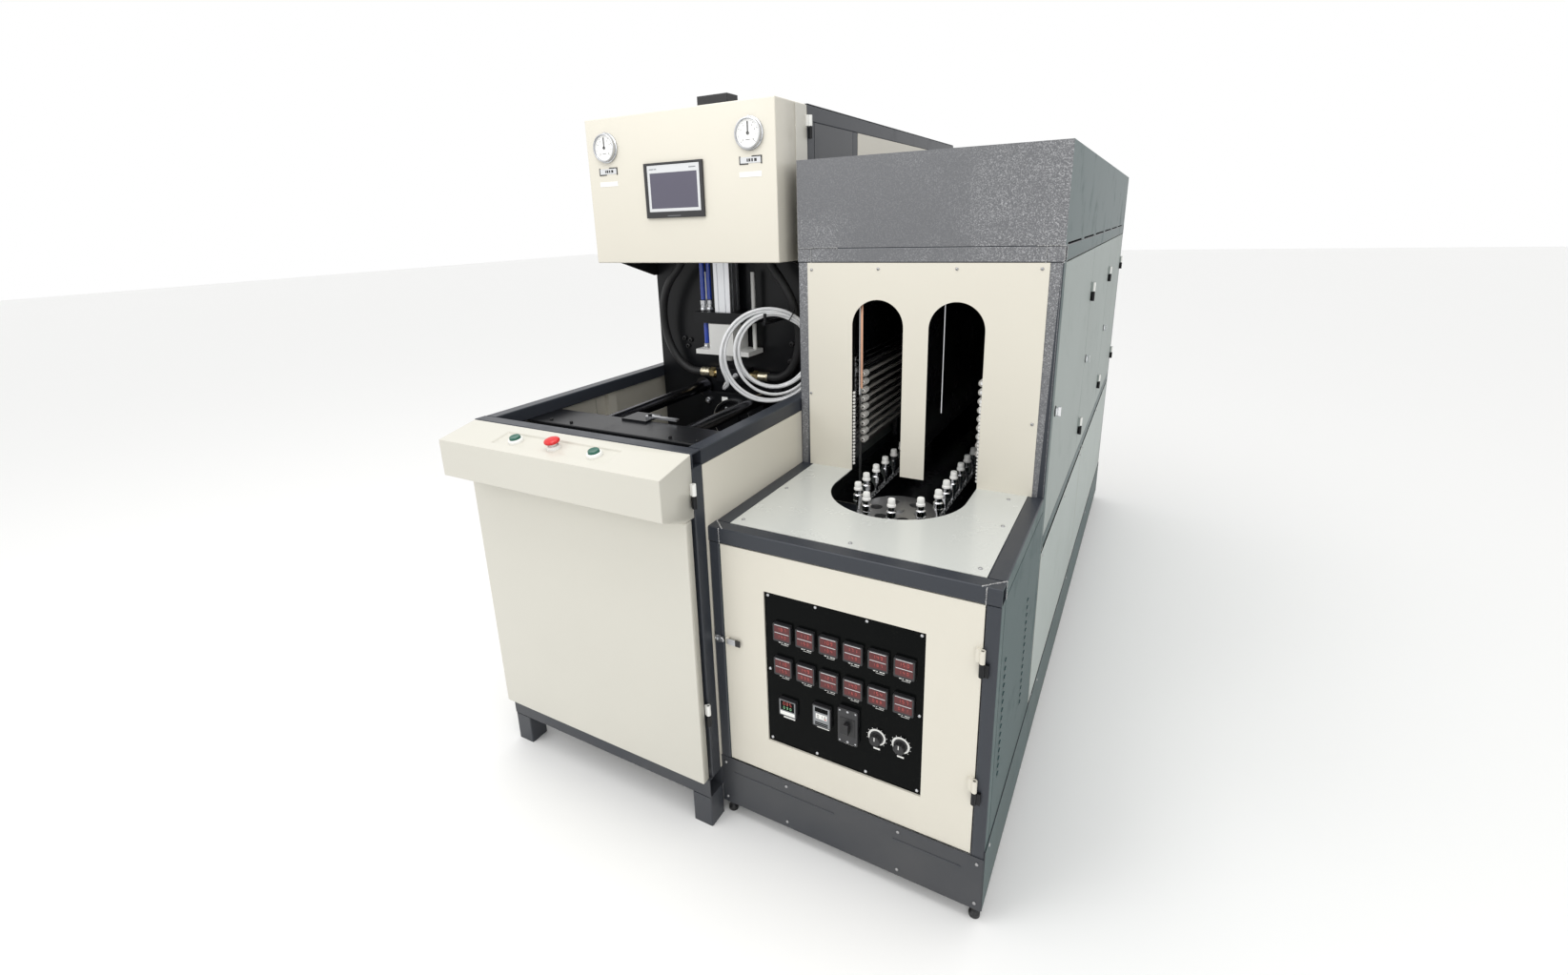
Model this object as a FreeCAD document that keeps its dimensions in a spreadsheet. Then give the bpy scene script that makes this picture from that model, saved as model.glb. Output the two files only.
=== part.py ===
"""Semi-automatic stretch blow moulding machine: a blowing station and its preform heater.

The two cabinets stand side by side. Sizes are in millimetres. Lengths across the machine are
counted from the seam between the cabinets, depths from the heater's front face and heights from
the floor. The origin is on the floor, in the middle of the machine's plan.
"""
import FreeCAD, Part
import Sketcher
import math
import os

V = FreeCAD.Vector

SIZES = {
    # overall
    "blower_width": 750, "heater_width": 700, "heater_depth": 2840, "button_reach": 168,
    # shared stock and clearances
    "tube": 40, "tube_wall": 3, "tube_corner": 4, "post_width": 30, "sheet": 2, "plate": 12,
    "door_gap": 2, "door_thick": 18, "run_fit": 0.05, "loose_fit": 0.4,
    # hinges
    "knuckle_radius": 6, "knuckle_length": 30, "hinge_stand": 7, "pin_radius": 3, "leaf_width": 14,
    # heater
    "ground_gap": 40, "foot_radius": 25, "shelf_height": 867, "tower_setback": 515,
    "hood_low": 1503, "hood_height": 232, "hood_slot_long": 300, "hood_slot_tall": 5,
    "mid_rail_top": 740, "skirt_front": 190, "skirt_side": 210, "panel_lap": 10,
    "window_width": 147, "window_pitch": 216, "window_top": 1365, "oven_middle": 347,
    "cutout_radius": 182, "cutout_depth": 111, "lower_seam": 1545, "louvre_long": 9, "louvre_tall": 4,
    "louvre_pitch": 21.4, "louvre_low": 349, "louvre_near": 85, "louvre_far": 358,
    # heater front door and its instruments
    "control_left": 150, "control_width": 400, "control_low": 295, "control_height": 430,
    "control_recess": 5, "meter_side": 48, "meter_deep": 10, "meter_pitch": 61,
    "meter_first": 200, "meter_row_low": 530, "meter_row_high": 625, "controller_x": 210,
    "controller_z": 415, "timer_x": 303, "timer_z": 425, "timer_wide": 48, "timer_tall": 60,
    "breaker_x": 372, "breaker_z": 424, "breaker_wide": 50, "breaker_tall": 96, "breaker_deep": 12,
    "lever_wide": 12, "lever_tall": 26, "lever_deep": 14, "knob_left_x": 441, "knob_right_x": 499,
    "knob_z": 414, "knob_radius": 13, "knob_tall": 18, "knob_skirt": 17, "knob_skirt_tall": 4,
    "latch_z": 559, "latch_x": 43, "latch_long": 36, "latch_tall": 16, "latch_deep": 6, "latch_stand": 5,
    "lock_radius": 11, "lock_deep": 5, "lock_wing": 26, "lock_wing_wide": 7, "lock_wing_deep": 9,
    "lock_z": 1083, "lock_inset": 32, "hinge_high_z": 1319, "hinge_low_z": 850,
    "front_hinge_high_z": 695, "front_hinge_low_z": 370,
    # oven
    "wheel_radius": 104, "wheel_thick": 12, "wheel_z": 800, "chain_deep": 8, "chain_tall": 14,
    "chain_tail": 260, "axle_radius": 15, "wheel_bore": 15.05, "holder_pitch": 76.2,
    "holder_radius": 13, "holder_tall": 78, "lamp_radius": 5, "lamp_cap_radius": 9, "lamp_cap_long": 24,
    "lamp_pitch": 25, "lamp_low": 945, "lamp_aside": 169, "reflector_aside": 196, "motor_radius": 60,
    "motor_tall": 190,
    # blowing station frame
    "leg": 60, "leg_front": 62, "base_rail_low": 93, "bed_front": 47, "bed_height": 1068,
    "cabinet_start": 1000, "cabinet_rail": 45, "cabinet_back": 2240, "cabinet_inset": 37,
    "tray_z": 560,
    # front door of the blowing station, with its button hood
    "front_door_low": 158, "front_door_top": 907, "front_door_thick": 23, "hood_nose_low": 941,
    "hood_nose_top": 1043, "hood_top": 1067, "button_pitch": 136, "button_middle": 379,
    "button_radius": 14, "button_tall": 9, "button_travel": 4, "stop_radius": 20, "stop_tall": 16,
    "stem_radius": 10, "recess_long": 396, "recess_wide": 62, "recess_deep": 6,
    # head
    "head_front": 475, "head_deep": 190, "head_low": 1465, "head_top": 1897, "head_left": 715,
    "head_right": 40, "head_flange": 18, "screen_left": 490, "screen_wide": 212, "screen_low": 1598,
    "screen_tall": 157, "screen_deep": 9, "gauge_radius": 44, "gauge_deep": 16, "gauge_left_x": 634,
    "gauge_right_x": 120, "gauge_z": 1810, "needle_long": 30, "needle_wide": 3, "needle_pivot": 2,
    # stretch and seal unit
    "station_y": 715, "wall_y": 770, "carrier_front": 495, "cylinder_side": 64, "bracket_top": 1289,
    "bracket_tall": 36, "bracket_wide": 180, "block_side": 96, "block_low": 1146,
    "rod_apart": 92, "rod_radius": 7, "rod_up": 130, "nozzle_radius": 16, "nozzle_long": 26,
    "stretch_radius": 5, "stretch_long": 320,
    "cap_wide": 112, "cap_top": 1960,
    # mould clamp
    "bar_radius": 20, "bar_apart": 147, "bar_z": 1008, "beam_front": 110, "beam_deep": 130,
    "beam_top": 1030, "beam_low": 880, "beam_inset": 45, "mould_plate_low": 640,
    "low_bar_apart": 220, "low_bar_z": 720, "platen_thick": 25, "platen_half": 125,
    "platen_top": 995, "ram_z": 903, "flange_radius": 77, "flange_thick": 14, "ram_radius": 20,
    "ram_bore": 50, "ram_shell": 60, "ram_stroke": 360,
    # air lines
    "hose_radius": 14, "air_tube_radius": 8, "manifold_wide": 120, "manifold_z": 1065,
    "manifold_tall": 50, "ferrule_radius": 17, "coil_radius": 135,
    "coil_half": 29, "coil_half_thick": 17, "coil_x": 158, "coil_y": 622, "coil_z": 1175,
    "coil_turn": 29.7, "peg_radius": 6, "lead_radius": 5,
}

doc = FreeCAD.newDocument("BlowMouldingMachine")
sheet = doc.addObject("Spreadsheet::Sheet", "Sheet")
for row, (alias, number) in enumerate(SIZES.items(), start=1):
    sheet.set(f"A{row}", alias)
    sheet.set(f"B{row}", str(number))
    sheet.setAlias(f"B{row}", alias)
doc.recompute()


class Size:
    """A length worked out from the sheet: its present number, and the formula that binds it."""

    def __init__(self, number, formula):
        self.number = number
        self.formula = formula

    @staticmethod
    def of(value):
        return value if isinstance(value, Size) else Size(float(value), f"({float(value)})")

    def __add__(self, other):
        other = Size.of(other)
        return Size(self.number + other.number, f"({self.formula} + {other.formula})")

    def __sub__(self, other):
        other = Size.of(other)
        return Size(self.number - other.number, f"({self.formula} - {other.formula})")

    def __mul__(self, factor):
        return Size(self.number * factor, f"({self.formula} * {factor})")

    def __truediv__(self, divisor):
        return Size(self.number / divisor, f"({self.formula} / {divisor})")

    def __neg__(self):
        return self * -1

    def __radd__(self, other):
        return Size.of(other) + self

    def __rsub__(self, other):
        return Size.of(other) - self

    __rmul__ = __mul__


class Sheet:
    """The sheet's cells by their aliases, as sizes."""

    def __getattr__(self, alias):
        return Size(float(sheet.get(alias)), f"Sheet.{alias}")


S = Sheet()
AXES = "xyz"
ZERO = Size.of(0)
ORIGIN = (
    (S.blower_width - S.heater_width) / 2,
    (S.button_reach - S.heater_depth) / 2,
    ZERO,
)
nodes = []


def bind(thing, prop, size):
    thing.setExpression(prop, Size.of(size).formula)


def put(thing, place):
    """Places a thing at (x, y, z), counted from the seam, the heater's front and the floor."""
    for axis, offset, value in zip(AXES, ORIGIN, place):
        bind(thing, f"Placement.Base.{axis}", offset + value)


def keep(label, thing):
    """Makes a thing the node of this name."""
    thing.Label = label
    nodes.append(thing)
    return thing


def block(x, y, z):
    """A box between two corners, each side given as (low, high)."""
    box = doc.addObject("Part::Box", "Block")
    for prop, (low, high) in zip(("Length", "Width", "Height"), (x, y, z)):
        bind(box, prop, Size.of(high) - low)
    put(box, (Size.of(x[0]), Size.of(y[0]), Size.of(z[0])))
    return box


TURN = {
    "x": FreeCAD.Rotation(V(0, 1, 0), 90),
    "y": FreeCAD.Rotation(V(1, 0, 0), -90),
    "z": FreeCAD.Rotation(),
}


def rod(axis, place, radius, length):
    """A round bar from a point, along +x, +y or +z."""
    bar = doc.addObject("Part::Cylinder", "Rod")
    bind(bar, "Radius", radius)
    bind(bar, "Height", length)
    bar.Placement = FreeCAD.Placement(V(), TURN[axis])
    put(bar, [Size.of(value) for value in place])
    return bar


def compound(things):
    union = doc.addObject("Part::Compound", "Group")
    union.Links = things
    return union


def cut(base, tools):
    """The base with the tools taken out of it."""
    result = doc.addObject("Part::Cut", "Cut")
    result.Base = base
    result.Tool = tools[0] if len(tools) == 1 else compound(tools)
    return result


def fuse(things):
    result = doc.addObject("Part::MultiFuse", "Fuse")
    result.Shapes = things
    result.Refine = True
    return result


def round_edges(base, radius, wanted):
    """Rounds the edges of a base that pass the test."""
    doc.recompute()
    rounded = doc.addObject("Part::Fillet", "Rounded")
    rounded.Base = base
    edges = base.Shape.Edges
    rounded.Edges = [(i + 1, radius, radius) for i, edge in enumerate(edges) if wanted(edge)]
    return rounded


def along(axis):
    """A test for straight edges that run along an axis."""
    return lambda edge: edge.Curve.TypeId == "Part::GeomLine" and abs(getattr(edge.Curve.Direction, axis)) > 0.99


def square_tube(axis, x, y, z, wall=None):
    """A square tube with rounded corners, open at its ends."""
    wall = wall or S.tube_wall
    spans = {"x": x, "y": y, "z": z}
    outer = round_edges(block(x, y, z), S.tube_corner.number, along(axis))
    inner = [
        spans[name] if name == axis else (Size.of(spans[name][0]) + wall, Size.of(spans[name][1]) - wall)
        for name in AXES
    ]
    return cut(outer, [block(*inner)])


def tray(x, y, z, open_side, wall=None):
    """A folded sheet pan: a panel with its four edges turned towards the open side."""
    wall = wall or S.sheet
    axis, towards = open_side
    spans = {}
    for name, (low, high) in zip(AXES, (x, y, z)):
        low, high = Size.of(low), Size.of(high)
        if name != axis:
            spans[name] = (low + wall, high - wall)
        elif towards == "+":
            spans[name] = (low + wall, high)
        else:
            spans[name] = (low, high - wall)
    return cut(block(x, y, z), [block(spans["x"], spans["y"], spans["z"])])


# Sketched parts: a body with one sketch, padded or revolved, all bound to the sheet.
PLANE = {"x": ("YZ_Plane", (1, 2), 1), "y": ("XZ_Plane", (0, 2), -1), "z": ("XY_Plane", (0, 1), 1)}


class Outline:
    """A sketch in which each corner, centre and radius is bound to a size."""

    def __init__(self, body, plane, offsets):
        self.sketch = body.newObject("Sketcher::SketchObject", "Sketch")
        support = [item for item in body.Origin.OriginFeatures if item.Role == plane][0]
        self.sketch.AttachmentSupport = [(support, "")]
        self.sketch.MapMode = "FlatFace"
        self.offsets = offsets

    def fix(self, geometry, point, place):
        for kind, offset, value in zip(("DistanceX", "DistanceY"), self.offsets, place):
            value = offset + value
            index = self.sketch.addConstraint(
                Sketcher.Constraint(kind, -1, 1, geometry, point, value.number)
            )
            bind(self.sketch, f"Constraints[{index}]", value)

    def spot(self, place):
        return V(*[(offset + value).number for offset, value in zip(self.offsets, place)], 0)

    def corners(self, places):
        """A closed outline of straight sides."""
        count = len(places)
        first = self.sketch.GeometryCount
        for i, place in enumerate(places):
            line = Part.LineSegment(self.spot(place), self.spot(places[(i + 1) % count]))
            self.sketch.addGeometry(line, False)
        for i, place in enumerate(places):
            self.sketch.addConstraint(
                Sketcher.Constraint("Coincident", first + i, 2, first + (i + 1) % count, 1)
            )
            self.fix(first + i, 1, place)

    def circle(self, place, radius):
        index = self.sketch.addGeometry(Part.Circle(self.spot(place), V(0, 0, 1), radius.number), False)
        self.fix(index, 3, place)
        size = self.sketch.addConstraint(Sketcher.Constraint("Radius", index, radius.number))
        bind(self.sketch, f"Constraints[{size}]", radius)

    def arch(self, middle, spring, foot, radius, down=False):
        """An opening with a half-round end at the spring line and a straight end at the foot."""
        centre = self.spot((middle, spring))
        turn = math.pi if down else 0
        arc = self.sketch.addGeometry(
            Part.ArcOfCircle(Part.Circle(centre, V(0, 0, 1), radius.number), turn, turn + math.pi), False
        )
        side = -1 if down else 1
        right, left = middle + radius * side, middle - radius * side
        ends = [(right, spring), (right, foot), (left, foot), (left, spring)]
        lines = [
            self.sketch.addGeometry(Part.LineSegment(self.spot(a), self.spot(b)), False)
            for a, b in zip(ends, ends[1:])
        ]
        self.fix(arc, 3, (middle, spring))
        for a, b in zip(lines, lines[1:]):
            self.sketch.addConstraint(Sketcher.Constraint("Coincident", a, 2, b, 1))
        self.sketch.addConstraint(Sketcher.Constraint("Coincident", arc, 1, lines[0], 1))
        self.sketch.addConstraint(Sketcher.Constraint("Coincident", arc, 2, lines[2], 2))
        for index, point, place in ((lines[0], 1, ends[0]), (lines[1], 1, ends[1]),
                                    (lines[1], 2, ends[2]), (lines[2], 2, ends[3])):
            self.fix(index, point, place)


def padded(axis, span, draw):
    """A plate across an axis, from a sketch that draw() fills."""
    plane, used, sign = PLANE[axis]
    body = doc.addObject("PartDesign::Body", "Body")
    outline = Outline(body, plane, [ORIGIN[i] for i in used])
    draw(outline)
    low, high = Size.of(span[0]), Size.of(span[1])
    start = ORIGIN[AXES.index(axis)] + (low if sign > 0 else high)
    bind(outline.sketch, "AttachmentOffset.Base.z", start * sign)
    pad = body.newObject("PartDesign::Pad", "Pad")
    pad.Profile = outline.sketch
    bind(pad, "Length", high - low)
    return body


def turned(axis, place, profile):
    """A turned part: profile holds (radius, height) corners, and the axis starts at the place."""
    body = doc.addObject("PartDesign::Body", "Body")
    outline = Outline(body, "XZ_Plane", [ZERO, ZERO])
    outline.corners([(Size.of(a), Size.of(b)) for a, b in profile])
    spin = body.newObject("PartDesign::Revolution", "Revolution")
    spin.Profile = outline.sketch
    spin.ReferenceAxis = (outline.sketch, ["V_Axis"])
    spin.Angle = 360
    body.Placement = FreeCAD.Placement(V(), TURN[axis] if axis in TURN else FRONTWARD)
    put(body, place)
    return body


FRONTWARD = FreeCAD.Rotation(V(1, 0, 0), 90)


def pipe(points, radius, label=None):
    """A tube along straight runs joined by tangent arcs, through points chosen by hand."""
    spots = [V(x + ORIGIN[0].number, y + ORIGIN[1].number, z) for x, y, z in points]
    edges, start = [], spots[0]
    for before, corner, after in zip(spots, spots[1:], spots[2:]):
        back, on = (before - corner), (after - corner)
        turn = math.pi - back.getAngle(on)
        reach = 0.45 * min(back.Length, on.Length)
        back.normalize()
        on.normalize()
        enter, leave = corner + back * reach, corner + on * reach
        bend = reach / math.tan(turn / 2)
        middle = (back + on).normalize()
        top = corner + middle * (math.hypot(bend, reach) - bend)
        edges += [Part.LineSegment(start, enter).toShape(), Part.Arc(enter, top, leave).toShape()]
        start = leave
        if label:
            print(f"{label}: bend radius {bend:.0f} mm")
    edges.append(Part.LineSegment(start, spots[-1]).toShape())
    spine = Part.Wire(edges)
    ring = Part.Wire(Part.makeCircle(radius, spots[0], spots[1] - spots[0]))
    tube = spine.makePipeShell([ring], True, False)
    expected = math.pi * radius**2 * spine.Length
    if abs(tube.Volume - expected) > 0.02 * expected:
        raise RuntimeError(f"{label} is not the volume of its route")
    return tube


def shaped(name, shape):
    thing = doc.addObject("Part::Feature", name)
    thing.Shape = shape
    return thing


def knuckles(x, y, z, up):
    """One hinge: the door's knuckle above or below, and the frame's knuckle with its pin."""
    hole = S.pin_radius + S.loose_fit
    upper, lower = Size.of(z) + 1, Size.of(z) - 1 - S.knuckle_length
    door = cut(rod("z", (x, y, upper if up else lower), S.knuckle_radius, S.knuckle_length),
               [rod("z", (x, y, upper if up else lower), hole, S.knuckle_length)])
    frame = rod("z", (x, y, lower if up else upper), S.knuckle_radius, S.knuckle_length)
    pin_start = z if up else Size.of(z) - S.knuckle_length
    pin = rod("z", (x, y, Size.of(pin_start) - 2), S.pin_radius, S.knuckle_length)
    return door, fuse([frame, pin])


# ------------------------------------------------------------------ heater
W, D = S.heater_width, S.heater_depth
SETBACK, FLOOR_GAP = S.tower_setback, S.ground_gap
TOWER_BACK = SETBACK + S.tube
HOOD_LOW = S.hood_low
TOP_RAIL = HOOD_LOW - S.tube
RAIL_LOW = S.mid_rail_top - S.tube
SHELF_LOW = S.shelf_height - S.tube
REAR = D - S.tube
LOUVRE_ROWS = 15
DOOR_BAY = (REAR - TOWER_BACK) / 3


def heater_frame():
    tubes = []
    for x in ((ZERO, S.post_width), (W - S.post_width, W)):
        tubes.append(square_tube("z", x, (0, S.tube), (FLOOR_GAP, SHELF_LOW)))
    for x in ((ZERO, S.tube), (W - S.tube, W)):
        tubes.append(square_tube("z", x, (SETBACK, TOWER_BACK), (FLOOR_GAP, TOP_RAIL)))
        tubes.append(square_tube("z", x, (REAR, D), (FLOOR_GAP, TOP_RAIL)))
        tubes.append(square_tube("y", x, (S.tube, SETBACK), (SHELF_LOW, S.shelf_height)))
        tubes.append(square_tube("y", x, (TOWER_BACK, REAR), (RAIL_LOW, S.mid_rail_top)))
        tubes.append(square_tube("y", x, (TOWER_BACK, REAR), (TOP_RAIL, HOOD_LOW)))
        tubes.append(square_tube("y", x, (S.tube, SETBACK), (FLOOR_GAP, FLOOR_GAP + S.tube)))
        tubes.append(square_tube("y", x, (TOWER_BACK, REAR), (FLOOR_GAP, FLOOR_GAP + S.tube)))
    inner = (S.tube, W - S.tube)
    tubes.append(square_tube("x", (0, W), (0, S.tube), (SHELF_LOW, S.shelf_height)))
    tubes.append(square_tube("x", (S.post_width, W - S.post_width), (0, S.tube),
                             (FLOOR_GAP, FLOOR_GAP + S.tube)))
    tubes.append(square_tube("x", inner, (SETBACK, TOWER_BACK), (RAIL_LOW, S.mid_rail_top)))
    for y in ((SETBACK, TOWER_BACK), (REAR, D)):
        tubes.append(square_tube("x", (0, W), y, (TOP_RAIL, HOOD_LOW)))
    for z in ((FLOOR_GAP, FLOOR_GAP + S.tube), (RAIL_LOW, S.mid_rail_top)):
        tubes.append(square_tube("x", inner, (REAR, D), z))
    for bay in (1, 2):
        middle = TOWER_BACK + DOOR_BAY * bay
        span = (middle - S.tube / 2, middle + S.tube / 2)
        set_in = S.door_thick
        for x in ((set_in, S.tube), (W - S.tube, W - set_in)):
            tubes.append(square_tube("z", x, span, (S.mid_rail_top, TOP_RAIL)))
            tubes.append(square_tube("z", (x[0], x[1]), span, (FLOOR_GAP + S.tube, RAIL_LOW)))
    keep("heater_frame", compound(tubes))


def heater_hood():
    top = HOOD_LOW + S.hood_height
    shell = tray((0, W), (SETBACK, D), (HOOD_LOW, top), ("z", "-"))
    slots = []
    count = int((D - SETBACK).number // (S.hood_slot_long.number + 60))
    for i in range(count):
        start = TOWER_BACK + (S.hood_slot_long + 60) * i
        slots.append(block((W - S.sheet * 2, W + S.sheet), (start, start + S.hood_slot_long),
                           (HOOD_LOW, HOOD_LOW + S.hood_slot_tall)))
    keep("heater_hood", cut(shell, slots))


def windows():
    return [S.oven_middle - S.window_pitch / 2, S.oven_middle + S.window_pitch / 2]


def tower_panel():
    """The white front sheet, with its two arch-topped openings down to the shelf."""
    lap = S.tube - S.panel_lap
    radius = S.window_width / 2

    def draw(outline):
        left, right = windows()
        top, foot = TOP_RAIL, S.shelf_height
        # One outline goes round both openings, which are open at their feet.
        outline.corners([(lap, foot), (left - radius, foot), (left - radius, S.window_top - radius),
                         (left + radius, S.window_top - radius), (left + radius, foot),
                         (right - radius, foot), (right - radius, S.window_top - radius),
                         (right + radius, S.window_top - radius), (right + radius, foot),
                         (W - lap, foot), (W - lap, top), (lap, top)])

    plate = padded("y", (SETBACK - S.sheet, SETBACK), draw)
    arches = [
        rod("y", (middle, SETBACK - S.sheet * 2, S.window_top - radius), radius, S.sheet * 3)
        for middle in windows()
    ]
    keep("tower_panel", cut(plate, arches))


def shelf_plate():
    """The inset shelf, cut out where the preforms turn."""
    low, high = S.shelf_height - S.sheet, S.shelf_height

    def draw(outline):
        outline.corners([(S.tube, S.tube), (W - S.tube, S.tube), (W - S.tube, SETBACK), (S.tube, SETBACK)])

    plate = padded("z", (low, high), draw)
    middle = SETBACK - S.cutout_depth
    hole = rod("z", (S.oven_middle, middle, low - 1), S.cutout_radius, S.sheet + 2)
    way = block((S.oven_middle - S.cutout_radius, S.oven_middle + S.cutout_radius),
                (middle, SETBACK + 1), (low - 1, high + 1))
    keep("shelf_plate", cut(plate, [fuse([hole, way])]))


def heater_front_door(pins):
    low, high = S.skirt_front + S.door_gap, SHELF_LOW - S.door_gap
    left, right = S.post_width + S.door_gap, W - S.post_width - S.door_gap
    front = S.door_gap
    door = tray((left, right), (front, front + S.door_thick), (low, high), ("y", "+"))
    control = block((S.control_left, S.control_left + S.control_width), (front - 1, front + S.door_thick),
                    (S.control_low, S.control_low + S.control_height))
    lip = block(
        (S.control_left - S.sheet, S.control_left + S.control_width + S.sheet),
        (front + S.sheet, front + S.control_recess),
        (S.control_low - S.sheet, S.control_low + S.control_height + S.sheet))
    inner = block((S.control_left, S.control_left + S.control_width), (front, front + S.door_thick),
                  (S.control_low, S.control_low + S.control_height))
    pieces = [cut(door, [control]), cut(lip, [inner])] + latch_ears()
    x, y = W - S.post_width, -S.hinge_stand
    for z in (S.front_hinge_high_z, S.front_hinge_low_z):
        door_side, frame_side = knuckles(x, y, z, True)
        reach = block((x - S.leaf_width, x - S.pin_radius - 1), (y, front + S.sheet),
                      (z + 1, z + 1 + S.knuckle_length))
        pieces += [door_side, reach]
        pins.append(fuse([frame_side, block((x + S.pin_radius + 1, x + S.leaf_width), (y, 0),
                                            (z - 1 - S.knuckle_length, z - 1))]))
    keep("heater_front_door", fuse(pieces))


def control_panel():
    front = S.door_gap + S.control_recess
    edge = S.sheet

    def draw(outline):
        left, low = S.control_left - edge, S.control_low - edge
        right, high = left + S.control_width + edge * 2, low + S.control_height + edge * 2
        outline.corners([(left, low), (right, low), (right, high), (left, high)])

    keep("control_panel", padded("y", (front, front + S.sheet), draw))


def instrument(x, z, wide, tall, deep, corner=3):
    """A flush instrument: a bezel that stands off the panel, with rounded corners."""
    face = S.door_gap + S.control_recess
    body = block((x - wide / 2, x + wide / 2), (face - deep, face), (z - tall / 2, z + tall / 2))
    return round_edges(body, corner, along("y"))


def panel_instruments():
    pieces = []
    for z in (S.meter_row_low, S.meter_row_high):
        for i in range(6):
            x = S.meter_first + S.meter_pitch * i
            pieces.append(instrument(x, z, S.meter_side, S.meter_side, S.meter_deep))
    pieces.append(instrument(S.controller_x, S.controller_z, S.meter_side, S.meter_side, S.meter_deep))
    pieces.append(instrument(S.timer_x, S.timer_z, S.timer_wide, S.timer_tall, S.meter_deep))
    keep("panel_instruments", compound(pieces))


def breaker():
    face = S.door_gap + S.control_recess
    front = face - S.breaker_deep
    well = block((S.breaker_x - S.lever_wide / 2 - 0.6, S.breaker_x + S.lever_wide / 2 + 0.6),
                 (front - 1, front + 2.6),
                 (S.breaker_z - S.lever_tall / 2 - 1.8, S.breaker_z + S.lever_tall / 2 + 1.8))
    keep("main_breaker", cut(instrument(S.breaker_x, S.breaker_z, S.breaker_wide, S.breaker_tall,
                                        S.breaker_deep), [well]))
    lever = block((S.breaker_x - S.lever_wide / 2, S.breaker_x + S.lever_wide / 2),
                  (front - S.lever_deep, front - 0.3),
                  (S.breaker_z - S.lever_tall / 2, S.breaker_z + S.lever_tall / 2))
    keep("breaker_lever", round_edges(lever, 3, along("x")))


def knob(label, x):
    """A pointer knob with a graduated skirt."""
    face = S.door_gap + S.control_recess - 0.3
    profile = [(0, 0), (S.knob_skirt, 0), (S.knob_skirt, S.knob_skirt_tall),
               (S.knob_radius, S.knob_skirt_tall + 1), (S.knob_radius - 1.5, S.knob_tall), (0, S.knob_tall)]
    keep(label, turned("front", (x, face, S.knob_z), profile))


def draw_latch():
    """The toggle latch: its keeper is on the post, and its lever turns on the door."""
    z, half = S.latch_z, S.latch_tall / 2
    front = S.door_gap
    barrel_y = front - S.latch_stand
    keeper = fuse([
        block((4, S.post_width - 2), (-2, 0), (z - half, z + half)),
        block((S.post_width - 9, S.post_width - 5), (-S.latch_deep, -1), (z - half + 3, z + half - 3)),
        rod("y", (10, -4, z + 4), Size.of(3), 3), rod("y", (10, -4, z - 4), Size.of(3), 3),
        block((S.post_width - 6, S.post_width), (-S.latch_deep, -S.latch_deep + 2), (z + half - 4, z + half - 2)),
        block((S.post_width - 6, S.post_width), (-S.latch_deep, -S.latch_deep + 2), (z - half + 2, z - half + 4)),
    ])
    keep("latch_keeper", keeper)
    lever = fuse([
        rod("z", (S.latch_x, barrel_y, z - half), Size.of(3), S.latch_tall),
        block((S.latch_x, S.latch_x + S.latch_long), (barrel_y - 3, barrel_y), (z - half, z + half)),
    ])
    keep("latch_lever", lever)


def latch_ears():
    """The two ears on the door that hold the latch lever's barrel."""
    z, half, front = S.latch_z, S.latch_tall / 2, S.door_gap
    return [
        block((S.latch_x - 4, S.latch_x + 4), (front - S.latch_stand - 4, front + 1), (z + side, z + side + 2))
        for side in (half + 0.3, -half - 2.3)
    ]


def side_doors(pins):
    names = ("front", "middle", "rear")
    for i, name in enumerate(names):
        low, high = S.mid_rail_top + S.door_gap, TOP_RAIL - S.door_gap
        near = TOWER_BACK + DOOR_BAY * i + S.door_gap
        far = TOWER_BACK + DOOR_BAY * (i + 1) - S.door_gap
        door = tray((W - S.door_thick + S.door_gap, W), (near, far), (low, high), ("x", "-"))
        lock_y = near + S.lock_inset
        hole = rod("x", (W - S.sheet - 1, lock_y, S.lock_z), S.lock_radius - 4, S.sheet + 2)
        pieces = [cut(door, [hole])]
        x, y = W + S.hinge_stand, far - S.pin_radius - 1
        for z in (S.hinge_high_z, S.hinge_low_z):
            door_side, frame_side = knuckles(x, y, z, True)
            pieces += [door_side, block((W - 1, x), (y - S.leaf_width, y - S.pin_radius - 1),
                                        (z + 1, z + 1 + S.knuckle_length))]
            start = W - S.door_thick if i < 2 else W
            reach = S.door_gap + 0.5 if i < 2 else S.leaf_width
            seat = block((start, x), (far + 0.5, far + reach), (z - 1 - S.knuckle_length, z - 1))
            pins.append(fuse([frame_side, seat]))
        keep(f"side_door_{name}", fuse(pieces))
        wing = block((W + S.lock_deep, W + S.lock_deep + S.lock_wing_deep),
                     (lock_y - S.lock_wing_wide / 2, lock_y + S.lock_wing_wide / 2),
                     (S.lock_z - S.lock_wing / 2, S.lock_z + S.lock_wing / 2))
        disc = turned("x", (W, lock_y, S.lock_z), [
            (0, -6), (S.lock_radius - 4.3, -6), (S.lock_radius - 4.3, 0.3), (S.lock_radius, 0.3),
            (S.lock_radius, S.lock_deep - 1), (S.lock_radius - 1.5, S.lock_deep + 0.5), (0, S.lock_deep + 0.5)])
        keep(f"side_lock_{name}", fuse([disc, round_edges(wing, 2, along("x"))]))


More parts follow.
